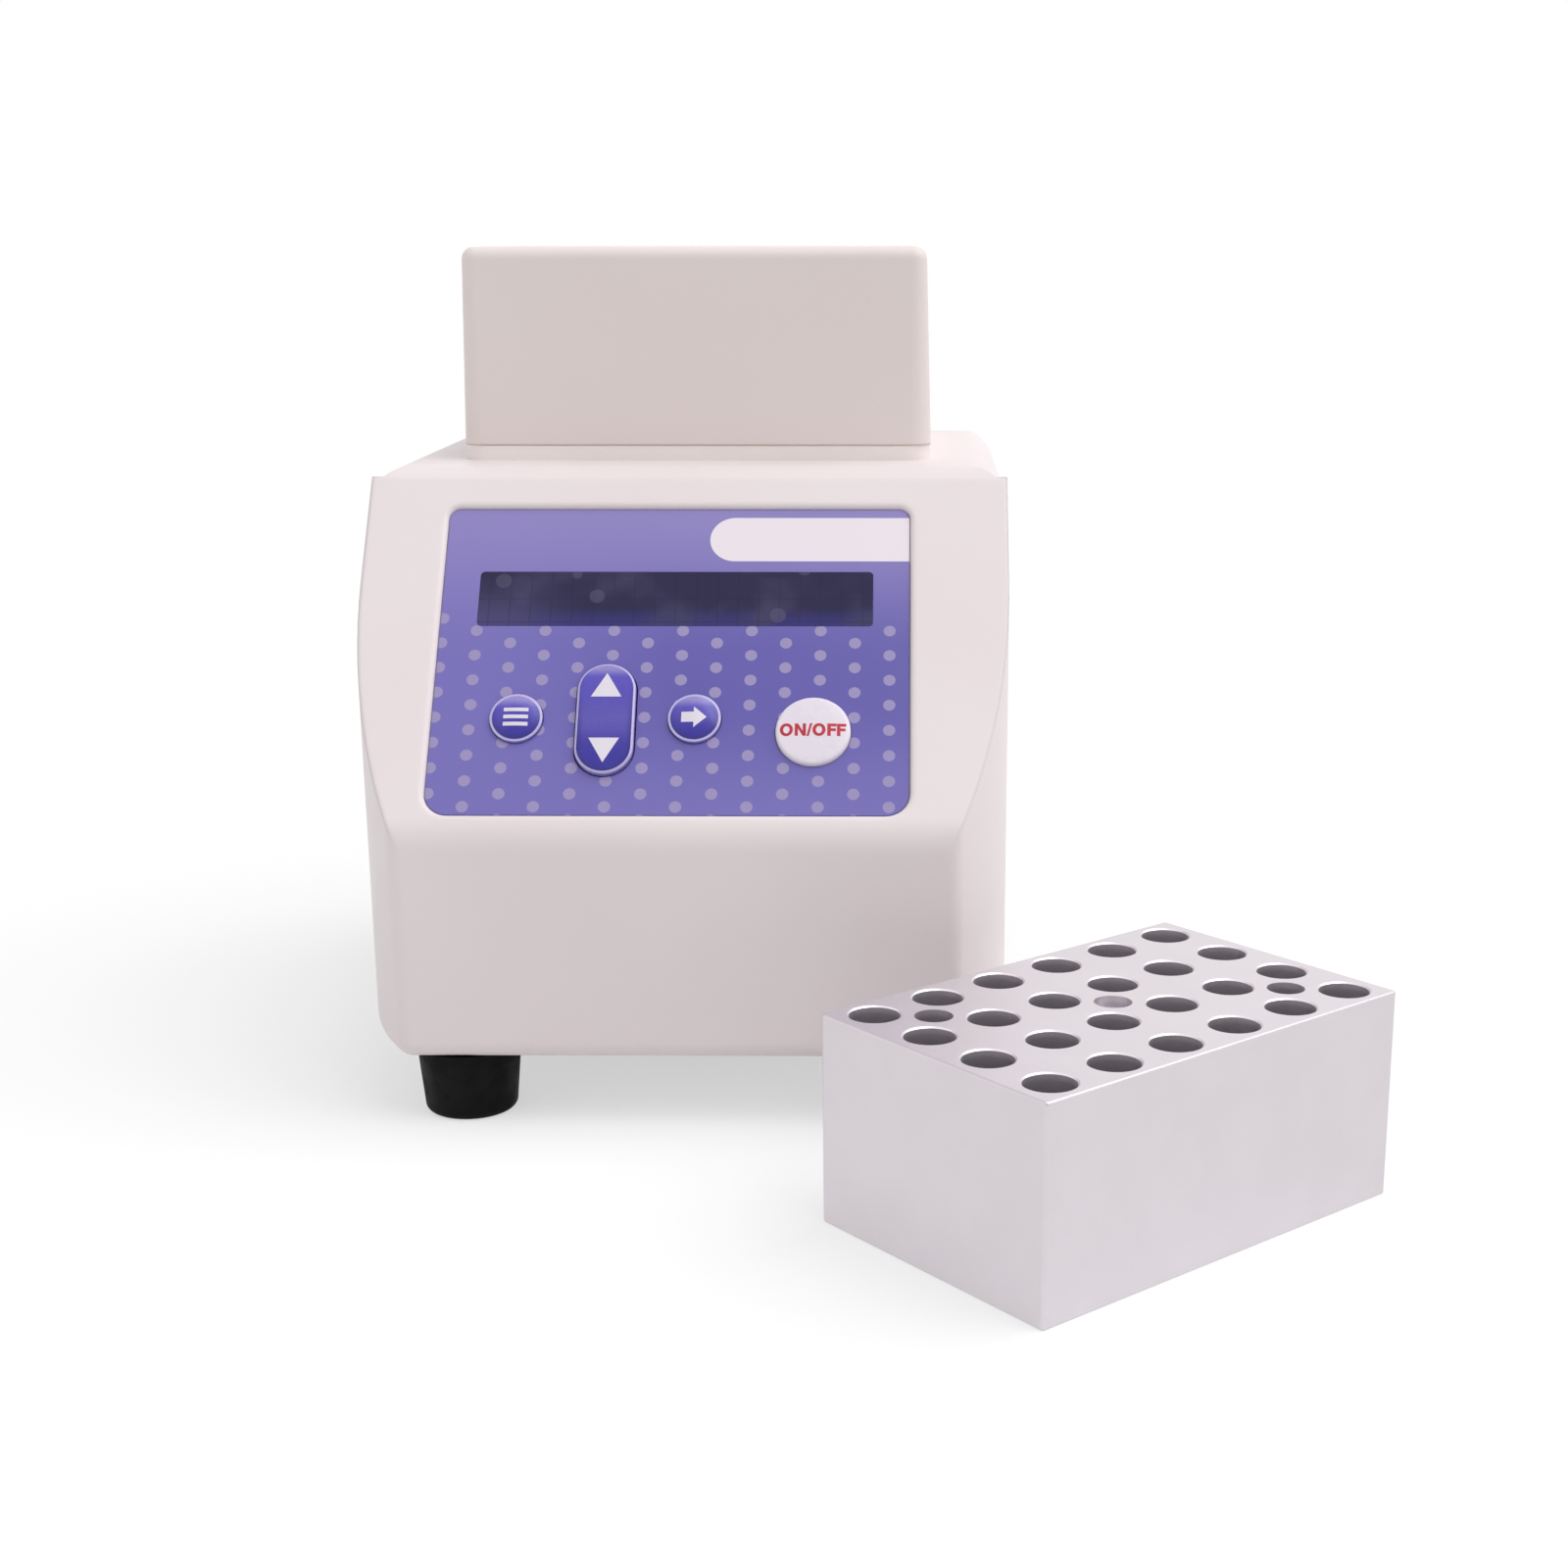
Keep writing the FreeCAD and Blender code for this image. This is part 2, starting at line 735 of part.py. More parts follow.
def round_key(label, x, y, radius, dome):
    """A turned key: a retaining lip behind the panel, a straight stem and a slightly domed face."""
    body = new_body(label + "_body")
    profile = sketch(body, label + "_outline", "XZ_Plane")
    face_arc = f"((({radius}) * ({radius}) + ({dome}) * ({dome})) / (2 * ({dome})))"
    draw(
        profile,
        [
            ("0", KEY_FOOT),
            (f"({radius}) + key_lip", KEY_FOOT),
            (f"({radius}) + key_lip", KEY_LIP_TOP),
            (radius, KEY_LIP_TOP),
            (radius, f"{KEY_FACE} - ({dome})"),
            ("0", KEY_FACE),
        ],
        {4: face_arc},
    )
    revolve(body, profile)
    moved = group(label + "_set", body)
    place(body, x, y, "0")
    node(on_panel(moved), label)


def arrow_rocker():
    """One pill-shaped key that tips either way on two pins at its middle."""
    stem = new_body("rocker_stem")
    outline = sketch(stem, "rocker_stem_outline", offset=f"{KEY_LIP_TOP} - 0.6")
    draw_rounded(outline, "rocker_width", "rocker_height", "rocker_x", "rocker_y", "rocker_width / 2 - 0.01")
    pad(stem, outline, f"{KEY_FACE} - {KEY_LIP_TOP} + 0.6")
    face = value(KEY_FACE)
    round_off(
        stem,
        "rocker_face_edge",
        "0.5",
        lambda edge: max(abs(v.Z - face) for v in edge.Vertexes) < 0.01,
    )
    lip = new_body("rocker_lip")
    outline = sketch(lip, "rocker_lip_outline", offset=f"{KEY_FOOT} - 0.2")
    draw_rounded(
        outline,
        ROCKER_LIP,
        "rocker_height + 1.6 * key_lip",
        "rocker_x",
        "rocker_y",
        f"{ROCKER_LIP} / 2 - 0.01",
    )
    pad(lip, outline, "0.6")
    start = f"rocker_x - {ROCKER_PINS} / 2"
    pins = rod("rocker_pins", "rocker_pin", ROCKER_PINS, start, "rocker_y", ROCKER_AXIS, EAST)
    node(on_panel(fuse("rocker_set", stem, lip, pins)), "arrow_rocker")


SWITCHES = (
    ("program_x", "small_key_y"),
    ("next_x", "small_key_y"),
    ("power_x", "power_y"),
    ("rocker_x", "rocker_y + rocker_reach"),
    ("rocker_x", "rocker_y - rocker_reach"),
)


def control_board():
    back = "(-board_depth - board_thick)"
    board = box(
        "control_board_sheet",
        "panel_board_width",
        "panel_board_height",
        "board_thick",
        "0",
        "panel_board_y",
        back,
    )
    places = [(f"{i} * panel_post_x", y) for y in ("panel_post_low", "panel_post_high") for i in (-1, 1)]
    holes = []
    screws = []
    for number, (x, y) in enumerate(places):
        holes.append(rod(f"control_board_hole_{number}", "1.1", "board_thick + 2", x, y, f"{back} - 1"))
        screws.append(screw(f"panel_screw_{number}", "1", "2", "1.4", "5.5", x, y, back, head_up=False))
    node(on_panel(cut("control_board_cut", board, *holes)), "control_board")
    node(on_panel(group("panel_screw_set", *screws)), "control_board_screws")

    switches = []
    for number, (x, y) in enumerate(SWITCHES):
        case = box(f"switch_case_{number}", "6", "6", "3.3", x, y, "-board_depth")
        button = rod(f"switch_button_{number}", "1.7", "3.8", x, y, "-board_depth")
        switches.append(fuse(f"tact_switch_{number}", case, button))
    node(on_panel(group("tact_switch_set", *switches)), "tact_switches")

    lcd = ("window_width + 3.6", "window_height + 4.3", "board_depth - panel_wall - 0.4")
    frame = box("lcd_block", *lcd, "0", "window_y", "-board_depth")
    room = ("window_width - 0.4", "window_height + 0.7", "2")
    seat = box("lcd_seat", *room, "0", "window_y", "-panel_wall - 1.4")
    node(on_panel(cut("lcd_frame_cut", frame, seat)), "lcd_frame")
    pane = ("window_width - 0.6", "window_height + 0.5", "0.9")
    glass = box("lcd_glass_block", *pane, "0", "window_y", "-panel_wall - 1.4")
    node(on_panel(group("lcd_glass_set", glass)), "lcd_glass")


# Base plate, feet and their screws

def underside():
    plate = rounded_plate(
        "base_plate_sheet",
        "plate_length",
        "plate_width",
        "plate_thick",
        "0",
        "0",
        "body_bottom",
        "plate_corner",
    )
    cutters = []
    for i in range(9):
        slot = ("3", "fan_side - 10", "plate_thick + 2")
        cutters.append(box(f"intake_slot_{i}", *slot, f"{5.5 * (i - 4)}", "fan_y", "body_bottom - 1"))
    for number, (x, y) in enumerate(corners(*BASE_SCREW)):
        cutters.append(rod(f"plate_hole_{number}", "1.6", "plate_thick + 2", x, y, "body_bottom - 1"))
        cutters.append(rod(f"plate_sink_{number}", "2.8", "2.2", x, y, "body_bottom - 1"))
    for number, (x, y) in enumerate(corners("post_x", "post_spread", "post_y")):
        cutters.append(rod(f"post_hole_{number}", "1.6", "plate_thick + 2", x, y, "body_bottom - 1"))
        cutters.append(rod(f"post_sink_{number}", "2.8", "2.2", x, y, "body_bottom - 1"))
    node(cut("base_plate_cut", plate, *cutters), "base_plate")

    head_seat = "body_bottom + 1.2"
    screws = []
    for number, (x, y) in enumerate(corners(*BASE_SCREW)):
        form = ("1.25", "2.6", "1.1", f"{BASE_BOSS_TOP} - 0.8 - ({head_seat})")
        screws.append(screw(f"base_screw_{number}", *form, x, y, head_seat, head_up=False))
    node(group("base_screw_set", *screws), "base_screws")

    names = ("foot_front_left", "foot_front_right", "foot_rear_left", "foot_rear_right")
    screws = []
    for label, (x, y) in zip(names, corners("foot_x", "foot_y")):
        body = new_body(label + "_body")
        profile = sketch(body, label + "_profile", "XZ_Plane")
        edge = "1.4"
        draw(
            profile,
            [
                ("1.6", "6"),
                ("4", "6"),
                ("4", "0"),
                (f"foot_sole_radius - {edge}", "0"),
                ("foot_sole_radius", edge),
                ("foot_top_radius", "body_bottom"),
                ("1.6", "body_bottom"),
            ],
            {3: edge},
        )
        revolve(body, profile)
        place(body, x, y, "0")
        node(body, label)
        screws.append(screw(f"{label}_screw", "1.5", "3", "2.2", "body_bottom", x, y, "6", head_up=False))
    node(group("foot_screw_set", *screws), "foot_screws")


# Main board on the base plate

def main_board():
    floor = "(body_bottom + plate_thick)"
    board = box(
        "main_board_sheet",
        "main_board_length",
        "main_board_width",
        "board_thick",
        "0",
        "main_board_y",
        "main_board_z",
    )
    top = "(main_board_z + board_thick)"
    post_x = "(plate_length / 2 - ledge - 4)"
    spots = corners(post_x, "main_board_width / 2 - 5", "main_board_y")
    holes = []
    standoffs = []
    screws = []
    for number, (x, y) in enumerate(spots):
        holes.append(rod(f"main_board_hole_{number}", "1.3", "4", x, y, "main_board_z - 1"))
        standoffs.append(rod(f"main_board_post_{number}", "2.5", f"main_board_z - {floor}", x, y, floor))
        screws.append(screw(f"main_board_screw_{number}", "1.2", "2.2", "1.6", "board_thick", x, y, top))
    node(cut("main_board_cut", board, *holes), "main_board")
    node(group("main_board_post_set", *standoffs), "board_standoffs")
    node(group("main_board_screw_set", *screws), "main_board_screws")

    cans = []
    for i in range(2):
        cans.append(rod(f"capacitor_{i}", "4", "12", f"{10 + 10 * i} - {post_x}", "main_board_y + 6", top))
    node(group("capacitor_set", *cans), "capacitors")
    core = rod("inductor_core", "7", "6", f"33 - {post_x}", "main_board_y + 5", top)
    eye = rod("inductor_eye", "3", "10", f"33 - {post_x}", "main_board_y + 5", f"{top} - 1")
    node(cut("inductor_cut", core, eye), "power_inductor")
    chips = []
    for i in range(2):
        chip_x = f"{post_x} - {8 + 8 * i}"
        chips.append(box(f"driver_chip_{i}", "4.5", "10", "15", chip_x, "main_board_y", top))
    node(group("driver_chip_set", *chips), "driver_transistors")
    terminal = box("terminal_block_case", "16", "8", "9", f"12 - {post_x}", "main_board_y - 7.5", top)
    node(group("terminal_block_set", terminal), "terminal_block")

    # flat cable from the back of the control board down to the main board
    body = new_body("ribbon_body")
    profile = sketch(body, "ribbon_outline", "YZ_Plane", "panel_x - 7")
    back = "(board_depth + board_thick)"
    down_slope = "16"
    start_y = f"({PANEL_Y} - {down_slope} * sin(panel_tilt) + {back} * cos(panel_tilt))"
    start_z = f"({PANEL_Z} - {down_slope} * cos(panel_tilt) - {back} * sin(panel_tilt))"
    low_y = "(main_board_y - main_board_width / 2 + 5)"
    thick = "0.6"
    draw(
        profile,
        [
            (low_y, top),
            (f"{low_y} + {thick}", top),
            (f"{low_y} + {thick}", f"{top} + 6"),
            (f"{start_y} + {thick} * sin(panel_tilt) + 0.4", f"{start_z} + {thick} * cos(panel_tilt)"),
            (start_y, start_z),
            (low_y, f"{top} + 6"),
        ],
    )
    pad(body, profile, "14")
    node(body, "ribbon_cable")


# Block well: liner with its collar, foam jacket, warm seat and the thermoelectric stack under it

def block_well():
    corner = "4"
    skirt_length = "(well_length + 2 * liner_wall)"
    skirt_width = "(well_width + 2 * liner_wall)"
    skirt_height = "deck_height - well_floor"
    skirt = box("liner_skirt", skirt_length, skirt_width, skirt_height, "0", "well_y", "well_floor")
    collar = rounded_plate(
        "liner_collar",
        "lid_length - 0.2",
        "lid_width - 0.2",
        "collar_rise",
        "0",
        "well_y",
        "deck_height",
        corner,
    )
    hollow = rounded_plate(
        "liner_hollow",
        "well_length",
        "well_width",
        "deck_height - well_floor + 10",
        "0",
        "well_y",
        "well_floor - 1",
        "1.5",
    )
    node(cut("liner_cut", fuse("liner_solid", skirt, collar), hollow), "well_liner")

    jacket_low = "(well_floor + 5)"
    jacket_height = f"deck_height - wall - jacket_room - {jacket_low}"
    foam = box("jacket_block", "seat_length + 2", "seat_width + 2", jacket_height, "0", "well_y", jacket_low)
    eye_plan = (f"{skirt_length} + 0.2", f"{skirt_width} + 0.2")
    eye = box("jacket_eye", *eye_plan, f"{skirt_height} + 10", "0", "well_y", f"{jacket_low} - 4")
    node(cut("jacket_cut", foam, eye), "insulation_jacket")

    seat_low = "(well_floor - seat_thick)"
    sink_top = f"({seat_low} - module_thick)"
    sink_low = f"({sink_top} - sink_base)"
    fin_low = f"({sink_low} - fin_height)"
    seat_front = "(well_y - seat_width / 2)"

    slab = box("seat_block", "seat_length", "seat_width", "seat_thick", "0", "well_y", seat_low)
    pedestal = rounded_plate(
        "seat_pedestal",
        "well_length - 2 * seat_gap",
        "well_width - 2 * seat_gap",
        "seat_rise + 1",
        "0",
        "well_y",
        "well_floor - 1",
        "1.5",
    )
    seat = fuse("seat_solid", slab, pedestal)
    sensor_hole = rod("sensor_hole", "1.55", "14", "18", f"{seat_front} - 1", "well_floor - 4", NORTH)
    screw_spots = corners("seat_length / 2 - 4", "20", "well_y")
    seat_holes = [sensor_hole]
    sink_holes = []
    screws = []
    for number, (x, y) in enumerate(screw_spots):
        seat_holes.append(rod(f"seat_hole_{number}", "1.6", "seat_thick + 2", x, y, f"{seat_low} - 1"))
        sink_holes.append(rod(f"sink_hole_{number}", "1.5", "sink_base + 2", x, y, f"{sink_low} - 1"))
        length = "seat_thick + module_thick + 4"
        screws.append(screw(f"seat_screw_{number}", "1.5", "2.75", "2", length, x, y, "well_floor"))
    node(cut("seat_cut", seat, *seat_holes), "thermal_seat")
    node(group("seat_screw_set", *screws), "seat_screws")
    probe = rod("sensor_rod", "1.5", "18", "18", f"{seat_front} - 6", "well_floor - 4", NORTH)
    node(group("sensor_set", probe), "temperature_sensor")
    cutout = rod("cutout_can", "4", "3.6", "seat_length / 2 - 4.5", "well_y", "well_floor")
    node(group("cutout_set", cutout), "thermal_cutout")

    module_spots = ("-module_x", "module_x")
    modules = []
    gaps = []
    for number, x in enumerate(module_spots):
        side = "module_side"
        modules.append(box(f"module_{number}", side, side, "module_thick", x, "well_y", sink_top))
        room = (f"{side} + 0.6", f"{side} + 0.6", "module_thick + 2")
        gaps.append(box(f"module_gap_{number}", *room, x, "well_y", f"{sink_top} - 1"))
    node(group("module_set", *modules), "thermoelectric_modules")
    gasket = ("2 * module_x + module_side + 10", "module_side + 18", "module_thick")
    foam = box("gasket_sheet", *gasket, "0", "well_y", sink_top)
    node(cut("gasket_cut", foam, *gaps), "module_gasket")

    base = box("sink_plate", "seat_length", "sink_width", "sink_base", "0", "well_y", sink_low)
    fins = []
    for i in range(12):
        x = f"{i - 5.5} * fin_pitch"
        fins.append(box(f"fin_{i}", "fin_thick", "sink_width", "fin_height + 0.5", x, "well_y", fin_low))
    node(cut("sink_cut", fuse("sink_solid", base, *fins), *sink_holes), "heat_sink")

    floor = "(body_bottom + plate_thick)"
    posts = []
    screws = []
    for number, (x, y) in enumerate(corners("post_x", "post_spread", "post_y")):
        pillar = rod(f"sink_post_{number}", "3", f"{sink_low} - {floor}", x, y, floor)
        thread = rod(f"sink_post_thread_{number}", "1.5", "8", x, y, floor)
        posts.append(cut(f"sink_post_cut_{number}", pillar, thread))
        screws.append(
            screw(f"post_screw_{number}", "1.5", "2.6", "1.1", "7", x, y, "body_bottom + 1.2", head_up=False)
        )
    node(group("sink_post_set", *posts), "sink_posts")
    node(group("post_screw_set", *screws), "post_screws")
    fan(fin_low)


# Cooling fan under the fins

def fan(top):
    low = f"({top} - fan_thick)"
    frame = rounded_plate("fan_square", "fan_side", "fan_side", "fan_thick", "0", "fan_y", low, "3")
    bore = rod("fan_bore_tool", "fan_bore", "fan_thick + 2", "0", "fan_y", f"{low} - 1")
    spots = corners("fan_side / 2 - 5", "fan_side / 2 - 5", "fan_y")
    holes = []
    screws = []
    for number, (x, y) in enumerate(spots):
        holes.append(rod(f"fan_hole_{number}", "1.6", "fan_thick + 2", x, y, f"{low} - 1"))
        form = ("1.4", "2.6", "1.6", "fan_thick + 5")
        screws.append(screw(f"fan_screw_{number}", *form, x, y, low, head_up=False))
    ring = cut("fan_ring", frame, bore, *holes)
    motor_disc = rod("fan_motor_disc", "fan_hub + 0.5", "2", "0", "fan_y", low)
    bearing = rod("fan_bearing", "3.2", "8", "0", "fan_y", low)
    arms = []
    for i in range(2):
        length, width = ("fan_side - 1", "3") if i else ("3", "fan_side - 1")
        arms.append(box(f"fan_arm_{i}", length, width, "2", "0", "fan_y", low))
    shaft_hole = rod("fan_shaft_hole", "pin_radius + running_gap", "20", "0", "fan_y", f"{low} + 1")
    solid = fuse("fan_frame_solid", ring, motor_disc, bearing, *arms)
    node(cut("fan_frame_cut", solid, shaft_hole), "fan_frame")
    node(group("fan_screw_set", *screws), "fan_screws")

    hub_low = f"({low} + 2.6)"
    hub_high = f"({top} - 1.2)"
    hub = rod("rotor_hub", "fan_hub", f"{hub_high} - {hub_low}", "0", "fan_y", hub_low)
    hollow = rod("rotor_hollow", "fan_hub - 1.6", f"{hub_high} - {hub_low} - 1.6", "0", "fan_y", hub_low)
    cup = cut("rotor_cup", hub, hollow)
    shaft = rod("rotor_shaft", "pin_radius", f"{hub_high} - {low} - 2", "0", "fan_y", f"{low} + 1.5")
    blades = []
    count = 7
    for i in range(count):
        blade = doc.addObject("Part::Box", f"rotor_blade_{i}")
        bind(blade, "Length", "blade_tip - fan_hub + 2")
        bind(blade, "Width", "1.2")
        bind(blade, "Height", "12")
        lean = Rotation(Vector(1, 0, 0), 38)
        start = Placement(Vector(value("fan_hub") - 0.8, 3.2, -4.8), lean)
        spin = Placement(Vector(), Rotation(Vector(0, 0, 1), 360 / count * i))
        blade.Placement = spin * start
        blades.append(blade)
    blade_set = group("rotor_blade_set", *blades)
    place(blade_set, "0", "fan_y", f"({hub_low} + {hub_high}) / 2")
    sweep = rod("rotor_sweep", "blade_tip", f"{hub_high} - {hub_low}", "0", "fan_y", hub_low)
    core = rod("rotor_core_room", "fan_hub - 0.8", "40", "0", "fan_y", f"{hub_low} - 10")
    trimmed = doc.addObject("Part::Common", "rotor_blades_trimmed")
    trimmed.Base = blade_set
    trimmed.Tool = sweep
    outer_blades = cut("rotor_blades_outer", trimmed, core)
    node(fuse("rotor_solid", cup, shaft, outer_blades), "fan_rotor")


# Power inlet in the back wall

def power_inlet():
    wall_face = "body_depth / 2"
    barrel = rod("inlet_barrel", "inlet_radius", "18", "inlet_x", f"{wall_face} - 17", "inlet_z", NORTH)
    flange = rod("inlet_flange", "inlet_radius + 1.6", "1.8", "inlet_x", wall_face, "inlet_z", NORTH)
    socket = rod("inlet_socket", "2.9", "10", "inlet_x", f"{wall_face} - 8", "inlet_z", NORTH)
    shell = cut("inlet_shell", fuse("inlet_solid", barrel, flange), socket)
    contact = rod("inlet_contact", "1.05", "9.4", "inlet_x", f"{wall_face} - 9", "inlet_z", NORTH)
    node(fuse("inlet_with_pin", shell, contact), "dc_inlet")

    hexagon = doc.addObject("Part::Prism", "inlet_nut_hexagon")
    hexagon.Polygon = 6
    bind(hexagon, "Circumradius", "inlet_radius + 2.6")
    bind(hexagon, "Height", "3")
    hexagon.Placement = Placement(Vector(), NORTH)
    place(hexagon, "inlet_x", f"{wall_face} - wall - 3", "inlet_z")
    thread_y = f"{wall_face} - wall - 4"
    thread = rod("inlet_nut_thread", "inlet_radius", "6", "inlet_x", thread_y, "inlet_z", NORTH)
    node(cut("inlet_nut_cut", hexagon, thread), "inlet_nut")


# Hinge: bracket on the deck, one steel pin, ears on the lid

HINGE_Z = "(deck_height + hinge_rise)"
HINGE_SCREW_X = ("-6", "6", "-ear_x", "ear_x")
HINGE_SCREW_Y = "hinge_y"
LUG_SHIFT = "(ear_width / 2 + 0.3 + lug_width / 2)"
LUG_SPOTS = [f"{i} * ear_x + {j} * {LUG_SHIFT}" for i in (-1, 1) for j in (-1, 1)]
PIN_LENGTH = f"(2 * ear_x + 2 * {LUG_SHIFT} + lug_width + 2)"


def hinge():
    strip = box("hinge_strip", f"{PIN_LENGTH} + 2", "6.2", "2", "0", "hinge_y", "deck_height")
    lugs = []
    for number, x in enumerate(LUG_SPOTS):
        start = f"{x} - lug_width / 2"
        lugs.append(rod(f"hinge_lug_{number}", "hinge_barrel", "lug_width", start, "hinge_y", HINGE_Z, EAST))
        cheek = ("lug_width", "2 * hinge_barrel", "hinge_rise")
        lugs.append(box(f"hinge_cheek_{number}", *cheek, x, "hinge_y", "deck_height"))
    half = f"{PIN_LENGTH} / 2"
    bore = rod("hinge_lug_bore", "pin_radius", f"{PIN_LENGTH} + 10", f"-{half} - 5", "hinge_y", HINGE_Z, EAST)
    holes = []
    screws = []
    for number, x in enumerate(HINGE_SCREW_X):
        holes.append(rod(f"hinge_screw_hole_{number}", "1.1", "5", x, HINGE_SCREW_Y, "deck_height - 1"))
        holes.append(rod(f"hinge_screw_sink_{number}", "2", "3", x, HINGE_SCREW_Y, "deck_height + 1"))
        form = ("1", "1.9", "1", "5")
        screws.append(screw(f"hinge_screw_{number}", *form, x, HINGE_SCREW_Y, "deck_height + 1"))
    solid = fuse("hinge_bracket_solid", strip, *lugs)
    node(cut("hinge_bracket_cut", solid, bore, *holes), "hinge_bracket")
    pin = rod("hinge_pin_rod", "pin_radius", PIN_LENGTH, f"-{half}", "hinge_y", HINGE_Z, EAST)
    node(group("hinge_pin_set", pin), "hinge_pin")
    node(group("hinge_screw_set", *screws), "hinge_screws")


# Lid: drafted cover, inner frame, warm plate with its mat, and foam

def lid():
    low = "(deck_height + collar_rise + lid_gap)"
    high = f"({low} + lid_height)"
    body = new_body("lid_outer")
    profile = sketch(body, "lid_outline", offset=low)
    draw_rounded(profile, "lid_length", "lid_width", "0", "well_y", "lid_corner")
    pad(body, profile, "lid_height", taper="-lid_draft")
    top = value(high)
    round_off(
        body,
        "lid_top_rounding",
        "lid_top_edge",
        lambda edge: max(abs(v.Z - top) for v in edge.Vertexes) < 0.01,
    )
    room_length = "(lid_length - 2 * lid_wall - 1.8)"
    room_width = "(lid_width - 2 * lid_wall - 1.8)"
    hollow = rounded_plate(
        "lid_hollow",
        room_length,
        room_width,
        "lid_height - lid_wall + 1",
        "0",
        "well_y",
        f"{low} - 1",
        "1.5",
    )
    shell = cut("lid_shell_hollow", body, hollow)

    frame_low = f"({low} + 0.3)"
    plate_low = f"({frame_low} + lid_cavity)"
    plate_high = f"({plate_low} + lid_plate_thick)"
    room_top = f"({high} - lid_wall)"
    spots = corners(f"{room_length} / 2 - 2.2", f"{room_width} / 2 - 2.2", "well_y")
    pilots = []
    bosses = []
    plate_holes = []
    frame_holes = []
    screws = []
    for number, (x, y) in enumerate(spots):
        bosses.append(rod(f"lid_boss_{number}", "2.6", f"{room_top} - {plate_high} + 1", x, y, plate_high))
        pilots.append(rod(f"lid_pilot_{number}", "1", "9", x, y, f"{plate_high} - 1"))
        plate_bore = "lid_plate_thick + 2"
        plate_holes.append(rod(f"lid_plate_hole_{number}", "1.1", plate_bore, x, y, f"{plate_low} - 1"))
        frame_holes.append(rod(f"lid_frame_hole_{number}", "1.1", "lid_cavity + 2", x, y, f"{frame_low} - 1"))
        frame_holes.append(rod(f"lid_frame_sink_{number}", "1.95", "3.5", x, y, f"{frame_low} - 1"))
        length = "lid_cavity - 2.5 + lid_plate_thick + 7"
        screws.append(
            screw(f"lid_screw_{number}", "1", "1.8", "1.6", length, x, y, f"{frame_low} + 2.5", head_up=False)
        )
    ears = []
    for number, side in enumerate((-1, 1)):
        start = f"{side} * ear_x - ear_width / 2"
        ears.append(rod(f"lid_ear_{number}", "hinge_barrel", "ear_width", start, "hinge_y", HINGE_Z, EAST))
        reach = "(hinge_y - well_y - lid_width / 2 + 2.6)"
        ears.append(
            box(
                f"lid_ear_root_{number}",
                "ear_width",
                reach,
                "2 * hinge_barrel - 0.4",
                f"{side} * ear_x",
                f"hinge_y - {reach} / 2",
                f"{HINGE_Z} - hinge_barrel + 0.4",
            )
        )
    ear_bore = rod(
        "lid_ear_bore",
        "pin_radius + running_gap",
        "lid_length",
        "-lid_length / 2",
        "hinge_y",
        HINGE_Z,
        EAST,
    )
    built_up = fuse("lid_built_up", shell, *bosses, *ears)
    node(cut("lid_shell_cut", built_up, ear_bore, *pilots), "lid_shell")

    ring = rounded_plate(
        "lid_frame_block",
        f"{room_length} - 0.4",
        f"{room_width} - 0.4",
        "lid_cavity",
        "0",
        "well_y",
        frame_low,
        "1.3",
    )
    eye = box(
        "lid_frame_eye",
        f"{room_length} - 9",
        f"{room_width} - 9",
        "lid_cavity + 2",
        "0",
        "well_y",
        f"{frame_low} - 1",
    )
    node(cut("lid_frame_cut", ring, eye, *frame_holes), "lid_frame")
    plate = rounded_plate(
        "lid_plate_sheet",
        f"{room_length} - 0.6",
        f"{room_width} - 0.6",
        "lid_plate_thick",
        "0",
        "well_y",
        plate_low,
        "1.2",
    )
    node(cut("lid_plate_cut", plate, *plate_holes), "lid_heater_plate")
    mat = box("lid_mat_sheet", f"{room_length} - 13", f"{room_width} - 4", "1.2", "0", "well_y", plate_high)
    node(group("lid_mat_set", mat), "lid_heater_mat")
    foam_low = f"({plate_high} + 1.2)"
    foam = box(
        "lid_foam_block",
        f"{room_length} - 13",
        f"{room_width} - 1",
        f"{room_top} - {foam_low} - 0.3",
        "0",
        "well_y",
        foam_low,
    )
    node(group("lid_foam_set", foam), "lid_insulation")
    node(group("lid_screw_set", *screws), "lid_screws")


# Tube block: drilled aluminium, six by four wells, two probe wells and a shallow centre recess

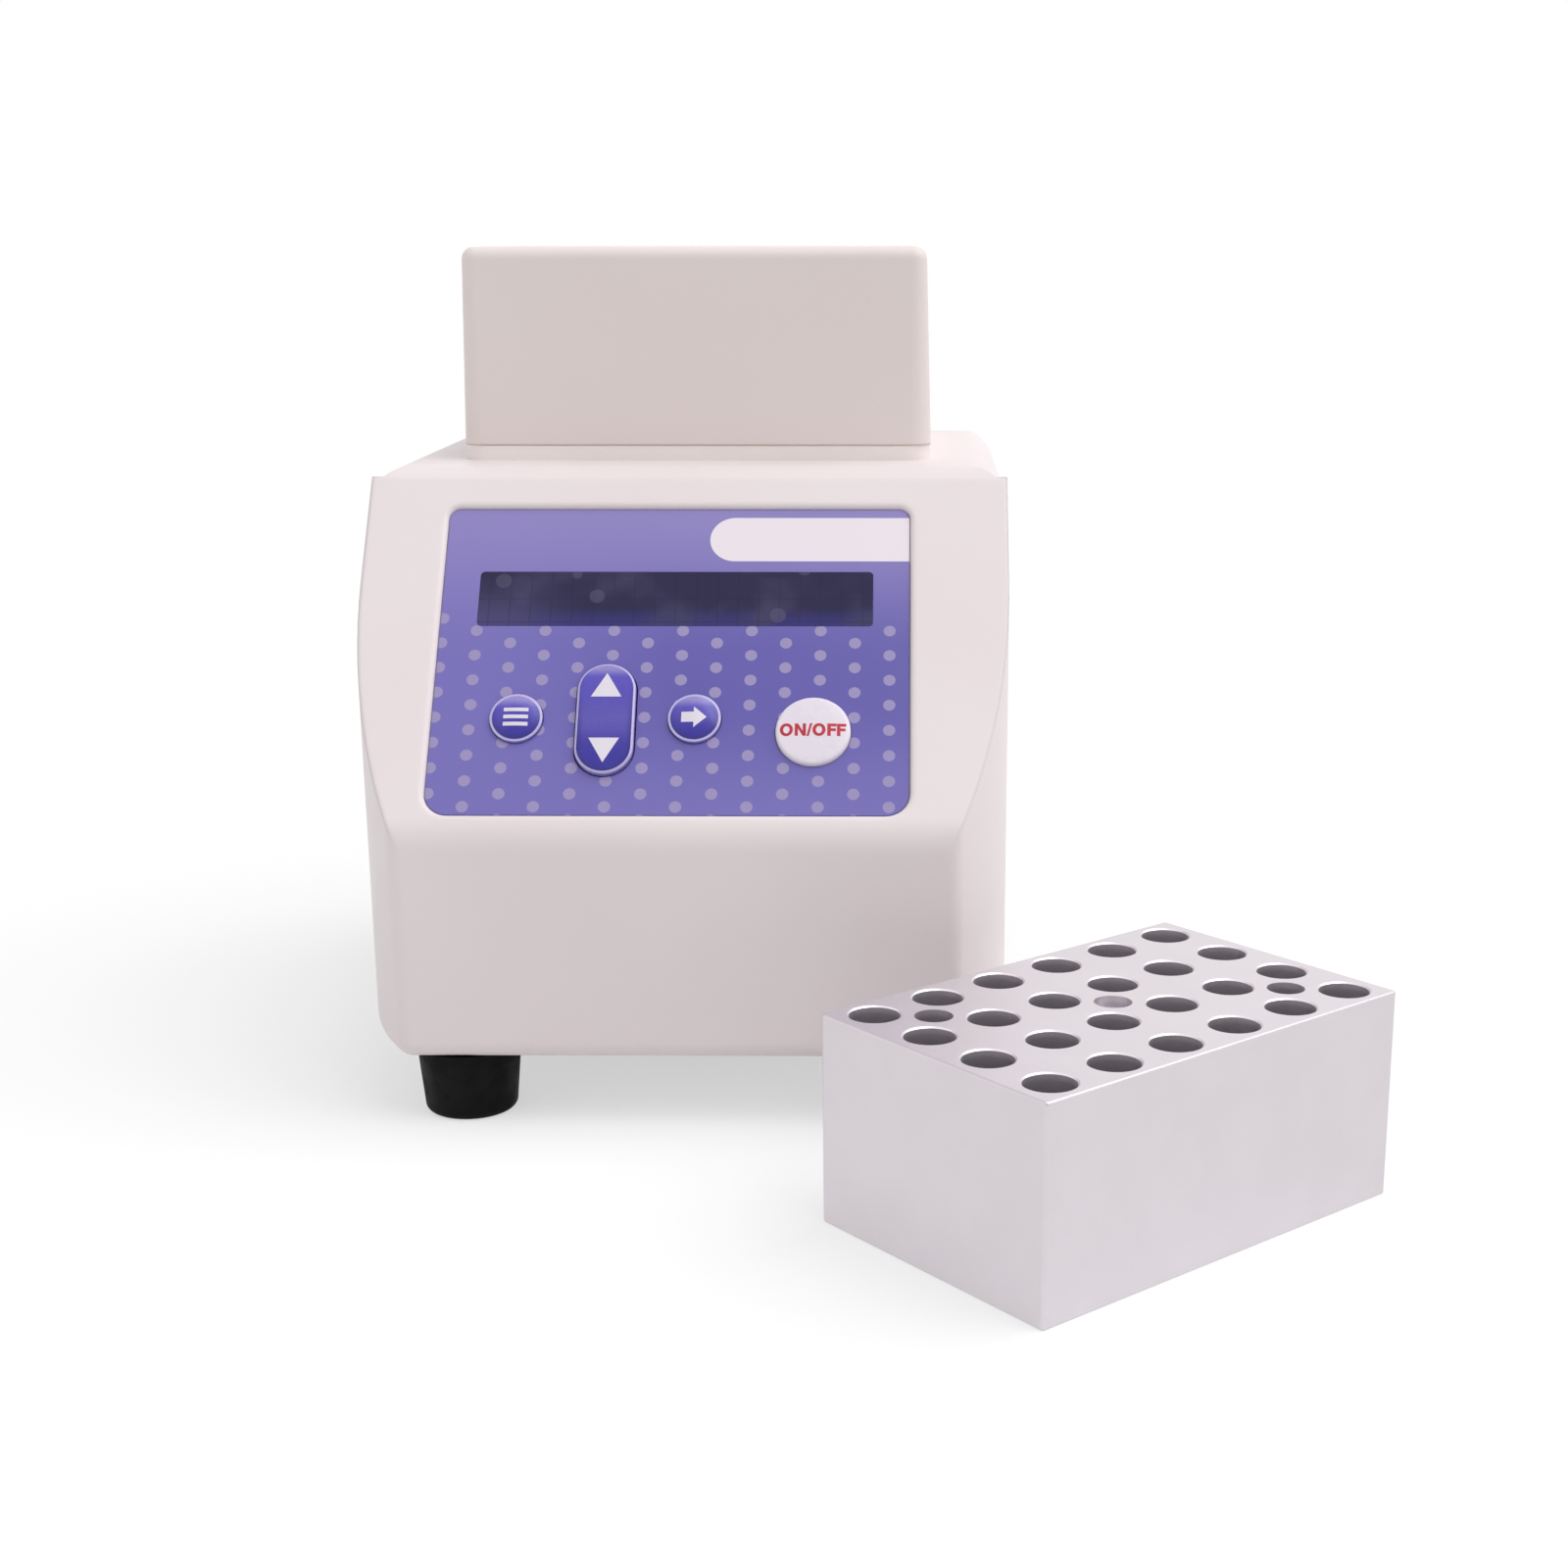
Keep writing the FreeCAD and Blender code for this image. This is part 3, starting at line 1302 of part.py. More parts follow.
def tube_block():
    body = new_body("block_solid")
    profile = sketch(body, "block_outline")
    draw_rounded(profile, "block_length", "block_width", "0", "0", "0.6")
    pad(body, profile, "block_height")
    top = value("block_height")
    round_off(
        body,
        "block_edges",
        "0.4",
        lambda edge: max(min(abs(v.Z), abs(v.Z - top)) for v in edge.Vertexes) < 0.01
        and abs(edge.Vertexes[0].Z - edge.Vertexes[-1].Z) < 0.01,
    )
    tools = []
    lip = "0.25"
    for i in range(6):
        for j in range(4):
            x, y = f"{i - 2.5} * well_pitch", f"{j - 1.5} * well_pitch"
            name = f"tube_well_{i}_{j}"
            bottom = "(block_height - tube_depth)"
            tools.append(rod(name, "tube_radius", "tube_depth + 1", x, y, bottom))
            tools.append(cone(name + "_tip", "tube_radius * 0.45", "tube_radius", "5", x, y, f"{bottom} - 5"))
            lip_form = ("tube_radius", f"tube_radius + 2 * {lip}", f"2 * {lip}")
            tools.append(cone(name + "_lip", *lip_form, x, y, f"block_height - {lip}"))
    for i, (x, y) in enumerate((("-2 * well_pitch", "well_pitch"), ("2 * well_pitch", "-well_pitch"))):
        bottom = "block_height - probe_depth"
        tools.append(rod(f"probe_well_{i}", "probe_radius", "probe_depth + 1", x, y, bottom))
    bottom = "block_height - recess_floor"
    tools.append(rod("centre_recess", "probe_radius", "recess_floor + 1", "0", "0", bottom))
    drilled = cut("block_drilled", body, *tools)
    drilled.Placement = Placement(Vector(), Rotation(Vector(0, 0, 1), value("block_turn")))
    place(drilled, "block_x", "block_y", "0")
    bind(drilled, "Placement.Rotation.Angle", "block_turn")
    node(drilled, "tube_block")


upper_housing()
keypad_overlay()
display_window()
round_key("key_program", "program_x", "small_key_y", "small_key_radius", "0.5")
arrow_rocker()
round_key("key_next", "next_x", "small_key_y", "small_key_radius", "0.5")
round_key("key_power", "power_x", "power_y", "power_radius", "1.3")
control_board()
underside()
main_board()
block_well()
power_inlet()
hinge()
lid()
tube_block()

doc.recompute()

faults = [item.Name for item in doc.Objects if {"Invalid", "Error"} & set(item.State)]
for item in nodes:
    if item.Shape.isNull() or not item.Shape.isValid() or not item.Shape.Solids:
        faults.append(item.Label)
if faults:
    raise RuntimeError("these objects did not build: " + ", ".join(faults))

os.makedirs("parts", exist_ok=True)
for item in nodes:
    item.Shape.exportStep(os.path.join("parts", item.Label + ".step"))
print(len(nodes), "pieces written")
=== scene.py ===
from math import cos, radians, sin

import bmesh
import bpy
from mathutils import Matrix, Vector


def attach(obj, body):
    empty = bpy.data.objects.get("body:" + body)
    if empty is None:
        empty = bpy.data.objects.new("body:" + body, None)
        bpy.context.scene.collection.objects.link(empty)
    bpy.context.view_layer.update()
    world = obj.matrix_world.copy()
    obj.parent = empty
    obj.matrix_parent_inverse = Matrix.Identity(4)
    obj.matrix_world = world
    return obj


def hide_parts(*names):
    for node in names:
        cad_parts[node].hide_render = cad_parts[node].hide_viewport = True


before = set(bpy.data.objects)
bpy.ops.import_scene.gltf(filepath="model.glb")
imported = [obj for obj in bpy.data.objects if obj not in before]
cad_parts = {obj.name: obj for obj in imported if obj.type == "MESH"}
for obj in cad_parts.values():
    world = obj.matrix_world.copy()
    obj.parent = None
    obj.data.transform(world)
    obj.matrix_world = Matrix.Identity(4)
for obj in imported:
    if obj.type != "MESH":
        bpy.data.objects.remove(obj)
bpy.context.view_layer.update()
bpy.context.scene.view_settings.view_transform = "Standard"


# Moulded casing. One injection-moulded shell of warm white plastic with a spark-eroded surface.
# The slanted face, the deck and the floor rim come out of one tool, and the base closes it below.

def colour(red, green, blue):
    """A colour written as 0 to 255 screen values, as the shader wants it."""
    def straight(level):
        level /= 255
        return level / 12.92 if level <= 0.04045 else ((level + 0.055) / 1.055) ** 2.4
    return (straight(red), straight(green), straight(blue), 1.0)


def node(tree, kind, sockets=None, **settings):
    """Adds a shader node. A socket is given a number, a colour or the output that feeds it."""
    made = tree.nodes.new("ShaderNode" + kind)
    for name, setting in settings.items():
        setattr(made, name, setting)
    for name, given in (sockets or {}).items():
        if isinstance(given, bpy.types.NodeSocket):
            tree.links.new(given, made.inputs[name])
        else:
            made.inputs[name].default_value = given
    return made


def worked(tree, operation, *values):
    """The result of a Math node."""
    return node(tree, "Math", dict(enumerate(values)), operation=operation).outputs[0]


def eased(tree, value, start, end, low=0.0, high=1.0):
    """Goes smoothly from low to high while the value goes from start to end."""
    sockets = {"Value": value, "From Min": start, "From Max": end, "To Min": low, "To Max": high}
    return node(tree, "MapRange", sockets, interpolation_type="SMOOTHSTEP").outputs[0]


def mixed(tree, mask, low, high):
    """The low colour where the mask is 0, the high one where it is 1."""
    return node(tree, "Mix", {0: mask, 6: low, 7: high}, data_type="RGBA").outputs[2]


def bumped(tree, height, strength, depth, edge=0.0):
    """A surface raised by a height, over edges that are softened by a small radius."""
    sockets = {"Height": height, "Strength": strength, "Distance": depth}
    if edge:
        sockets["Normal"] = node(tree, "Bevel", {"Radius": edge}, samples=6).outputs[0]
    return node(tree, "Bump", sockets).outputs[0]


def new_group(name, inputs, outputs):
    """An empty shader group with named sockets, and its two ends to wire between."""
    tree = bpy.data.node_groups.new(name, "ShaderNodeTree")
    for socket in inputs:
        kind = "NodeSocketVector" if socket == "Place" else "NodeSocketFloat"
        tree.interface.new_socket(name=socket, in_out="INPUT", socket_type=kind)
    for socket in outputs:
        tree.interface.new_socket(name=socket, in_out="OUTPUT", socket_type="NodeSocketFloat")
    return tree, tree.nodes.new("NodeGroupInput").outputs, tree.nodes.new("NodeGroupOutput")


def grouped(tree, group, sockets):
    """The outputs of a shader group that is placed in a tree with its own values."""
    return node(tree, "Group", sockets, node_tree=group).outputs


def new_finish(name, constants):
    """A new material, its tree and its shader, which is given the values that are the same all over."""
    material = bpy.data.materials.new(name)
    material.use_nodes = True
    shader = material.node_tree.nodes["Principled BSDF"]
    for socket, given in constants.items():
        shader.inputs[socket].default_value = given
    return material, material.node_tree, shader


def place_of(tree):
    """Where a point lies on the object, in metres."""
    return node(tree, "TexCoord").outputs["Object"]


def feed(tree, shader, **outputs):
    """Wires outputs to the shader's sockets, named with an underscore for each space."""
    for name, output in outputs.items():
        tree.links.new(output, shader.inputs[name.replace("_", " ")])


def dress(material, *names):
    """Gives a finish to pieces of the frame."""
    for name in names:
        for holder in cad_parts[name].material_slots:
            holder.material = material


# the levels between which a noise mostly keeps, and how much of the pits goes into the height
NOISE_SPAN = (0.3, 0.7)
PIT_SHARE = 0.4
PATCHES_IN_CLOUD = 4.0

# what a mould leaves on plastic: fine pits, broad clouding and patches of different gloss
mould_marks, entry, leave = new_group(
    "mould_marks", ("Place", "Grain", "Cloud"), ("Height", "Clouding", "Gloss Patches")
)
fine = node(mould_marks, "TexNoise", {"Vector": entry["Place"], "Scale": entry["Grain"], "Detail": 3.0})
pits = node(mould_marks, "TexVoronoi", {"Vector": entry["Place"], "Scale": entry["Grain"]})
broad = node(mould_marks, "TexNoise", {"Vector": entry["Place"], "Scale": entry["Cloud"], "Detail": 2.0})
patch_scale = worked(mould_marks, "MULTIPLY", entry["Cloud"], PATCHES_IN_CLOUD)
patches = node(mould_marks, "TexNoise", {"Vector": entry["Place"], "Scale": patch_scale, "Detail": 5.0})
relief = worked(mould_marks, "MULTIPLY_ADD", pits.outputs["Distance"], PIT_SHARE, fine.outputs["Fac"])
clouding = eased(mould_marks, broad.outputs["Fac"], *NOISE_SPAN)
gloss_patches = eased(mould_marks, patches.outputs["Fac"], *NOISE_SPAN)
mould_marks.links.new(relief, leave.inputs["Height"])
mould_marks.links.new(clouding, leave.inputs["Clouding"])
mould_marks.links.new(gloss_patches, leave.inputs["Gloss Patches"])


def moulded(name, low, high, gloss, grain=2600.0, cloud=16.0, depth=0.00004, strength=0.25, edge=0.0):
    """A moulded plastic whose colour drifts between two shades, and its roughness with it."""
    material, tree, shader = new_finish(name, {"IOR": 1.5})
    marks = grouped(tree, mould_marks, {"Place": place_of(tree), "Grain": grain, "Cloud": cloud})
    feed(
        tree,
        shader,
        Base_Color=mixed(tree, marks["Clouding"], low, high),
        Roughness=eased(tree, marks["Gloss Patches"], 0.0, 1.0, *gloss),
        Normal=bumped(tree, marks["Height"], strength, depth, edge),
    )
    return material


casing_plastic = moulded(
    "casing_plastic", colour(235, 224, 226), colour(239, 229, 230), gloss=(0.38, 0.48), edge=0.0012
)
dress(casing_plastic, "upper_housing")


# Base plate. Sheet steel with punched air slots, let into a rebate under the casing and screwed up to it.
# It is powder-coated a pale warm grey, and the coat has the fine ripple that such a coat dries with.

base_sheet = moulded(
    "base_sheet", colour(184, 180, 181), colour(192, 188, 188),
    gloss=(0.45, 0.6), grain=1100.0, cloud=24.0, depth=0.00006, strength=0.35,
)
dress(base_sheet, "base_plate")


# Base screws. Four small screws hold the base plate up to bosses in the casing, and four the sink's posts.
# They are plated steel, with rounded heads and a cross pressed into each.

# stains are this much coarser than the grain, and streaks are the grain drawn out along Y
STAINS_TO_GRAIN = 0.02
DRAWN_OUT = (1.0, 0.04, 1.0)

metal_grain, entry, leave = new_group("metal_grain", ("Place", "Scale"), ("Height", "Streaks", "Stains"))
place = entry["Place"]
grains = node(metal_grain, "TexNoise", {"Vector": place, "Scale": entry["Scale"], "Detail": 6.0})
stretched = node(metal_grain, "Mapping", {"Vector": place, "Scale": DRAWN_OUT}).outputs[0]
drawn = node(metal_grain, "TexNoise", {"Vector": stretched, "Scale": entry["Scale"], "Detail": 3.0})
stain_scale = worked(metal_grain, "MULTIPLY", entry["Scale"], STAINS_TO_GRAIN)
stain = node(metal_grain, "TexNoise", {"Vector": place, "Scale": stain_scale, "Detail": 4.0})
metal_grain.links.new(grains.outputs["Fac"], leave.inputs["Height"])
metal_grain.links.new(drawn.outputs["Fac"], leave.inputs["Streaks"])
metal_grain.links.new(eased(metal_grain, stain.outputs["Fac"], 0.35, 0.65), leave.inputs["Stains"])


def metal(name, low, high, gloss, scale=3000.0, depth=0.00002, strength=0.2, streaked=False):
    """A bare metal: grain or drawn streaks in its surface, and faint stains in its colour."""
    material, tree, shader = new_finish(name, {"Metallic": 1.0})
    marks = grouped(tree, metal_grain, {"Place": place_of(tree), "Scale": scale})
    relief = marks["Streaks"] if streaked else marks["Height"]
    feed(
        tree,
        shader,
        Base_Color=mixed(tree, marks["Stains"], low, high),
        Roughness=eased(tree, relief, *NOISE_SPAN, *gloss),
        Normal=bumped(tree, relief, strength, depth),
    )
    return material


SHARP_FROM = radians(35)


def finished_piece(name, shape, material, body):
    """Turns a bmesh into a piece at the origin, dressed and riding on its body."""
    mesh = bpy.data.meshes.new(name)
    shape.to_mesh(mesh)
    shape.free()
    mesh.shade_smooth()
    mesh.set_sharp_from_angle(angle=SHARP_FROM)
    mesh.materials.append(material)
    piece = bpy.data.objects.new(name, mesh)
    bpy.context.scene.collection.objects.link(piece)
    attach(piece, body)
    return piece


def verts_of(result):
    """The vertices among what an operator made."""
    return [each for each in result["geom"] if isinstance(each, bmesh.types.BMVert)]


MILLIMETRE = 0.001
IN_MILLIMETRES = (MILLIMETRE, MILLIMETRE, MILLIMETRE)

# shares of a head's depth: how far its rim is rounded, and how deep its cross is pressed
RIM_ROUNDING = 0.45
CROSS_DEPTH = 0.6
# shares of a head's radius: half the width of the cross's slits, and how far out they go
CROSS_SLIT = 0.12
CROSS_ARM = 0.52
# a shank's tip against its root
SHANK_TAPER = 0.9


def screws(node_name, body, spots, turn, head, shank):
    """Screws in millimetres at the middles of their head faces: head and shank give radius and length."""
    shape = bmesh.new()
    radius, deep = head
    shank_radius, shank_long = shank
    bmesh.ops.create_cone(
        shape, cap_ends=True, segments=32, radius1=radius, radius2=radius, depth=deep,
        matrix=Matrix.Translation((0.0, 0.0, -deep / 2)),
    )
    rim = [edge for edge in shape.edges if all(abs(vert.co.z) < 0.001 for vert in edge.verts)]
    bmesh.ops.bevel(
        shape, geom=rim, offset=RIM_ROUNDING * deep, segments=4, profile=0.5, affect="EDGES", material=-1
    )
    slit = CROSS_SLIT * radius
    arm = CROSS_ARM * radius
    for across in (Vector((1.0, 0.0, 0.0)), Vector((0.0, 1.0, 0.0))):
        for offset in (-arm, -slit, slit, arm):
            whole = shape.verts[:] + shape.edges[:] + shape.faces[:]
            bmesh.ops.bisect_plane(
                shape, geom=whole, dist=0.0001, plane_co=across * offset, plane_no=across
            )
    pressed = []
    for face in shape.faces:
        middle = face.calc_center_median()
        near, far = sorted((abs(middle.x), abs(middle.y)))
        if face.normal.z > 0.9 and middle.z > -0.01 and near < slit and far < arm:
            pressed.append(face)
    pressed += [edge for edge in shape.edges if any(face in pressed for face in edge.link_faces)]
    sunk = bmesh.ops.extrude_face_region(shape, geom=pressed)
    bmesh.ops.translate(shape, verts=verts_of(sunk), vec=(0.0, 0.0, -CROSS_DEPTH * deep))
    bmesh.ops.create_cone(
        shape, cap_ends=True, segments=24,
        radius1=SHANK_TAPER * shank_radius, radius2=shank_radius, depth=shank_long,
        matrix=Matrix.Translation((0.0, 0.0, -deep - shank_long / 2)),
    )
    bmesh.ops.rotate(shape, verts=shape.verts, cent=(0.0, 0.0, 0.0), matrix=Matrix.Rotation(turn, 3, "X"))
    first = shape.verts[:] + shape.edges[:] + shape.faces[:]
    for spot in spots[1:]:
        copy = bmesh.ops.duplicate(shape, geom=first)
        bmesh.ops.translate(shape, verts=verts_of(copy), vec=Vector(spot) - Vector(spots[0]))
    bmesh.ops.translate(shape, verts=shape.verts, vec=spots[0])
    bmesh.ops.scale(shape, verts=shape.verts, vec=IN_MILLIMETRES)
    piece = finished_piece("detailed_" + node_name, shape, steel, body)
    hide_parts(node_name)


def four(x, y, z, middle=0.0):
    """The four corners of a rectangle about a middle on the Y axis."""
    return [(i * x, middle + j * y, z) for j in (-1, 1) for i in (-1, 1)]


HEAD_DOWN = radians(180)
BASE_REBATE = 12.1
BASE_HEAD = (2.6, 1.1)
steel = metal(
    "steel", colour(190, 190, 192), colour(204, 203, 202), gloss=(0.22, 0.34), scale=2500.0, streaked=True
)
screws(
    "base_screws", "heater", four(42.4, 41.4, BASE_REBATE), HEAD_DOWN, head=BASE_HEAD, shank=(1.25, 7.0)
)
screws(
    "post_screws", "heater", four(35.5, 12.0, BASE_REBATE, middle=22.0), HEAD_DOWN,
    head=BASE_HEAD, shank=(1.5, 7.0),
)


# Rubber feet. Four tapered black rubber feet, moulded solid, each held by a screw up its middle.
# The rubber is dull, a little grey with handling, with the faint pits of its mould.

foot_rubber = moulded(
    "foot_rubber", colour(2, 2, 3), colour(7, 7, 8),
    gloss=(0.55, 0.72), grain=1800.0, cloud=60.0, depth=0.00008, strength=0.4,
)
foot_rubber.node_tree.nodes["Principled BSDF"].inputs["Specular IOR Level"].default_value = 0.15
dress(foot_rubber, "foot_front_left", "foot_front_right", "foot_rear_left", "foot_rear_right")
screws("foot_screws", "heater", four(37.5, 55.5, 3.8), HEAD_DOWN, head=(3.0, 2.2), shank=(1.5, 12.0))


# Main board. Green glass-fibre board, screwed to plated standoffs over the base, with its power parts.
# Sleeved capacitors, a wound ferrite ring, two drivers, a screw terminal and a flat cable stand on it.

def printed_board(name):
    """Solder mask over copper tracks that run square to each other."""
    material, tree, shader = new_finish(name, {"IOR": 1.55, "Coat Weight": 0.3, "Coat Roughness": 0.2})
    place = place_of(tree)
    tracks = node(
        tree, "TexBrick", {"Vector": place, "Scale": 90.0, "Mortar Size": 0.06, "Brick Width": 1.7}
    )
    speckle = node(tree, "TexNoise", {"Vector": place, "Scale": 700.0, "Detail": 2.0})
    mask = worked(tree, "MULTIPLY_ADD", speckle.outputs["Fac"], 0.3, tracks.outputs["Fac"])
    feed(
        tree,
        shader,
        Base_Color=mixed(tree, mask, colour(24, 84, 52), colour(44, 118, 76)),
        Roughness=eased(tree, speckle.outputs["Fac"], *NOISE_SPAN, 0.25, 0.4),
        Normal=bumped(tree, tracks.outputs["Fac"], 0.3, 0.00003),
    )
    return material


board_green = printed_board("board_green")
black_plastic = moulded(
    "black_plastic", colour(24, 24, 26), colour(33, 33, 35), gloss=(0.35, 0.5), grain=2200.0, cloud=40.0
)
capacitor_sleeve = moulded(
    "capacitor_sleeve", colour(26, 34, 70), colour(34, 44, 88), gloss=(0.25, 0.35), grain=900.0, cloud=90.0
)
ferrite = moulded(
    "ferrite", colour(48, 46, 44), colour(70, 66, 62),
    gloss=(0.6, 0.8), grain=1200.0, cloud=120.0, depth=0.0001, strength=0.5,
)
terminal_green = moulded(
    "terminal_green", colour(38, 118, 62), colour(48, 134, 72), gloss=(0.35, 0.5), grain=1500.0, cloud=80.0
)
ribbon_grey = moulded(
    "ribbon_grey", colour(150, 152, 156), colour(172, 174, 178), gloss=(0.4, 0.55), grain=800.0, cloud=100.0
)
dress(board_green, "main_board")
dress(steel, "board_standoffs", "main_board_screws")
dress(black_plastic, "driver_transistors")
dress(capacitor_sleeve, "capacitors")
dress(ferrite, "power_inductor")
dress(terminal_green, "terminal_block")
dress(ribbon_grey, "ribbon_cable")


# Thermal stack. The aluminium seat is screwed to a finned sink with two thermoelectric modules between.
# Foam fills the gaps, a probe and a cutout watch the seat, and posts carry it all over the base.

plate_aluminium = metal(
    "plate_aluminium", colour(203, 204, 206), colour(209, 209, 211),
    gloss=(0.28, 0.42), scale=2600.0, streaked=True,
)
ceramic = moulded(
    "ceramic", colour(226, 224, 218), colour(238, 236, 231), gloss=(0.5, 0.65), grain=1500.0, cloud=60.0
)
foam_dark = moulded(
    "foam_dark", colour(40, 41, 43), colour(62, 63, 66),
    gloss=(0.85, 0.98), grain=700.0, cloud=40.0, depth=0.0004, strength=0.8,
)
dress(plate_aluminium, "thermal_seat", "heat_sink", "sink_posts")
dress(ceramic, "thermoelectric_modules")
dress(foam_dark, "insulation_jacket", "module_gasket")
dress(steel, "seat_screws", "temperature_sensor", "thermal_cutout")


# Fan. A square black plastic frame with a turning rotor of the same plastic, over the slots of the base.
# It blows up into the fins, and four steel screws through its corners hold it under the sink.

dress(black_plastic, "fan_frame", "fan_rotor")
dress(steel, "fan_screws")


# Well liner. A white moulded sleeve that hangs in the deck by its collar, round the block's well.
# Its collar shows as a thin step between the deck and the lid.

liner_plastic = moulded(
    "liner_plastic", colour(247, 238, 237), colour(251, 243, 241), gloss=(0.42, 0.52)
)
dress(liner_plastic, "well_liner")


# Control board. A second green board, screwed to bosses behind the slanted face, under the keys.
# It carries a small black switch under each key and the black frame that holds the screen's glass.

dress(board_green, "control_board")
dress(steel, "control_board_screws")
dress(black_plastic, "tact_switches", "lcd_frame")


# Keypad overlay. A glossy violet film, printed on its back and glued into a recess of the slanted face.
# Its print is a lattice of pale dots below the window and a bare pale plate at the top, on a violet ground.

PANEL_TURN = radians(51.5)
PANEL_MIDDLE = (-0.00146, -0.044646, 0.077915)


def panel_place(tree, x=0.0, y=0.0):
    """Millimetres on the panel from x, y: right, up the slope, out of the face."""
    turned = node(tree, "Mapping", {
        "Vector": place_of(tree),
        "Location": PANEL_MIDDLE,
        "Rotation": (PANEL_TURN, 0.0, 0.0),
        "Scale": IN_MILLIMETRES,
    }, vector_type="TEXTURE").outputs[0]
    return node(tree, "VectorMath", {0: turned, 1: (x, y, 0.0)}, operation="SUBTRACT").outputs[0]


# how far a point lies from a straight run about the middle, as in a disc, a pill or a round corner
round_reach, entry, leave = new_group("round_reach", ("Place", "Run X", "Run Y"), ("Reach",))
parts = node(round_reach, "SeparateXYZ", {0: entry["Place"]}).outputs
beyond = []
for part, run in ((parts["X"], entry["Run X"]), (parts["Y"], entry["Run Y"])):
    outside = worked(round_reach, "SUBTRACT", worked(round_reach, "ABSOLUTE", part), run)
    beyond.append(worked(round_reach, "MAXIMUM", outside, 0.0))
square = worked(round_reach, "MULTIPLY", beyond[0], beyond[0])
square = worked(round_reach, "MULTIPLY_ADD", beyond[1], beyond[1], square)
round_reach.links.new(worked(round_reach, "SQRT", square), leave.inputs["Reach"])


def reach(tree, place, run_x=0.0, run_y=0.0):
    """How far a place lies from a run whose half lengths are given."""
    return grouped(tree, round_reach, {"Place": place, "Run X": run_x, "Run Y": run_y})["Reach"]


overlay_film, tree, shader = new_finish("overlay_film", {"IOR": 1.58})
place = panel_place(tree)
parts = node(tree, "SeparateXYZ", {0: place}).outputs
height = parts["Y"]
# The violet ground is deepest in the middle and to the right, and paler towards the top, the left and the
# bottom.
deep = mixed(tree, eased(tree, parts["X"], -36.0, 6.0), colour(114, 104, 185), colour(93, 84, 171))
ground = mixed(tree, eased(tree, height, 30.0, 0.0), colour(140, 128, 194), deep)
ground = mixed(tree, eased(tree, height, -8.0, -30.0), ground, colour(114, 104, 183))

DOT_RADIUS = 1.04
DOT_BLUR = 0.08
DOT_STEP = (11.88, 4.78)
DOT_ROWS = ((1.5, 0.55), (7.44, 2.94))
DOTS_TOP = 9.0
half = (DOT_STEP[0] / 2, DOT_STEP[1] / 2, 100.0)
low = tuple(-each for each in half)
dots = None
for start in DOT_ROWS:
    shifted = node(tree, "VectorMath", {0: place, 1: (*start, 0.0)}, operation="SUBTRACT").outputs[0]
    cell = node(tree, "VectorMath", {0: shifted, 1: half, 2: low}, operation="WRAP").outputs[0]
    spot = eased(tree, reach(tree, cell), DOT_RADIUS + DOT_BLUR, DOT_RADIUS - DOT_BLUR)
    dots = spot if dots is None else worked(tree, "MAXIMUM", dots, spot)
dots = worked(tree, "MULTIPLY", dots, eased(tree, height, DOTS_TOP + 0.1, DOTS_TOP - 0.1))
ground = mixed(tree, dots, ground, colour(154, 143, 190))

PLATE_MIDDLE = (30.0, 23.6)
PLATE_RUN = 20.04
PLATE_ROUND = 4.4
PLATE_BLUR = 0.04
plate = reach(tree, panel_place(tree, *PLATE_MIDDLE), PLATE_RUN)
plate = eased(tree, plate, PLATE_ROUND + PLATE_BLUR, PLATE_ROUND - PLATE_BLUR)
ground = mixed(tree, plate, ground, colour(240, 230, 239))
marks = grouped(tree, mould_marks, {"Place": place_of(tree), "Grain": 1400.0, "Cloud": 30.0})
feed(
    tree,
    shader,
    Base_Color=ground,
    Roughness=eased(tree, marks["Gloss Patches"], 0.0, 1.0, 0.24, 0.27),
    Normal=bumped(tree, marks["Height"], 0.08, 0.00002),
)
dress(overlay_film, "keypad_overlay")


# Display. A smoke-tinted window let into the overlay, over the glass of a two-line character screen.
# The screen is off, so that only a faint grid of character cells can be made out in it.

WINDOW_MIDDLE = 11.65
CELL_WIDTH = 3.6
CELL_HEIGHT = 4.6
CELL_GAP = 0.18
window_tint, tree, shader = new_finish("window_tint", {"IOR": 1.4})
place = panel_place(tree, 0.0, WINDOW_MIDDLE)
parts = node(tree, "SeparateXYZ", {0: place}).outputs
height = parts["Y"]
# Painted reflection: the window is paler and bluer towards its lower edge.
deep = mixed(tree, eased(tree, height, -5.2, -1.2), colour(46, 40, 116), colour(27, 22, 68))
smoke = node(tree, "TexNoise", {"Vector": place, "Scale": 0.09, "Detail": 2.0})
deep = mixed(tree, eased(tree, smoke.outputs["Fac"], 0.45, 0.8), deep, colour(58, 54, 92))
# The window is paler towards its lower left.
paler_lower_left = worked(tree, "MULTIPLY", eased(tree, parts["X"], -14.0, -32.0), eased(tree, height, 4.0, -3.0))
deep = mixed(tree, worked(tree, "MULTIPLY", paler_lower_left, 0.6), deep, colour(76, 70, 118))
cells = node(tree, "TexBrick", {
    "Vector": place,
    "Scale": 1.0,
    "Brick Width": CELL_WIDTH,
    "Row Height": CELL_HEIGHT,
    "Mortar Size": CELL_GAP,
}, offset=0.0)
deep = mixed(tree, worked(tree, "MULTIPLY", cells.outputs["Fac"], 0.25), deep, colour(20, 17, 42))
bubbles = node(tree, "TexVoronoi", {"Vector": place, "Scale": 0.13, "Randomness": 1.0})
bubble = eased(tree, bubbles.outputs["Distance"], 0.2, 0.17)
deep = mixed(tree, worked(tree, "MULTIPLY", bubble, 0.35), deep, colour(96, 92, 124))
marks = grouped(tree, mould_marks, {"Place": place_of(tree), "Grain": 500.0, "Cloud": 60.0})
feed(tree, shader, Base_Color=deep, Roughness=eased(tree, marks["Gloss Patches"], 0.0, 1.0, 0.08, 0.18))
dress(window_tint, "display_window")

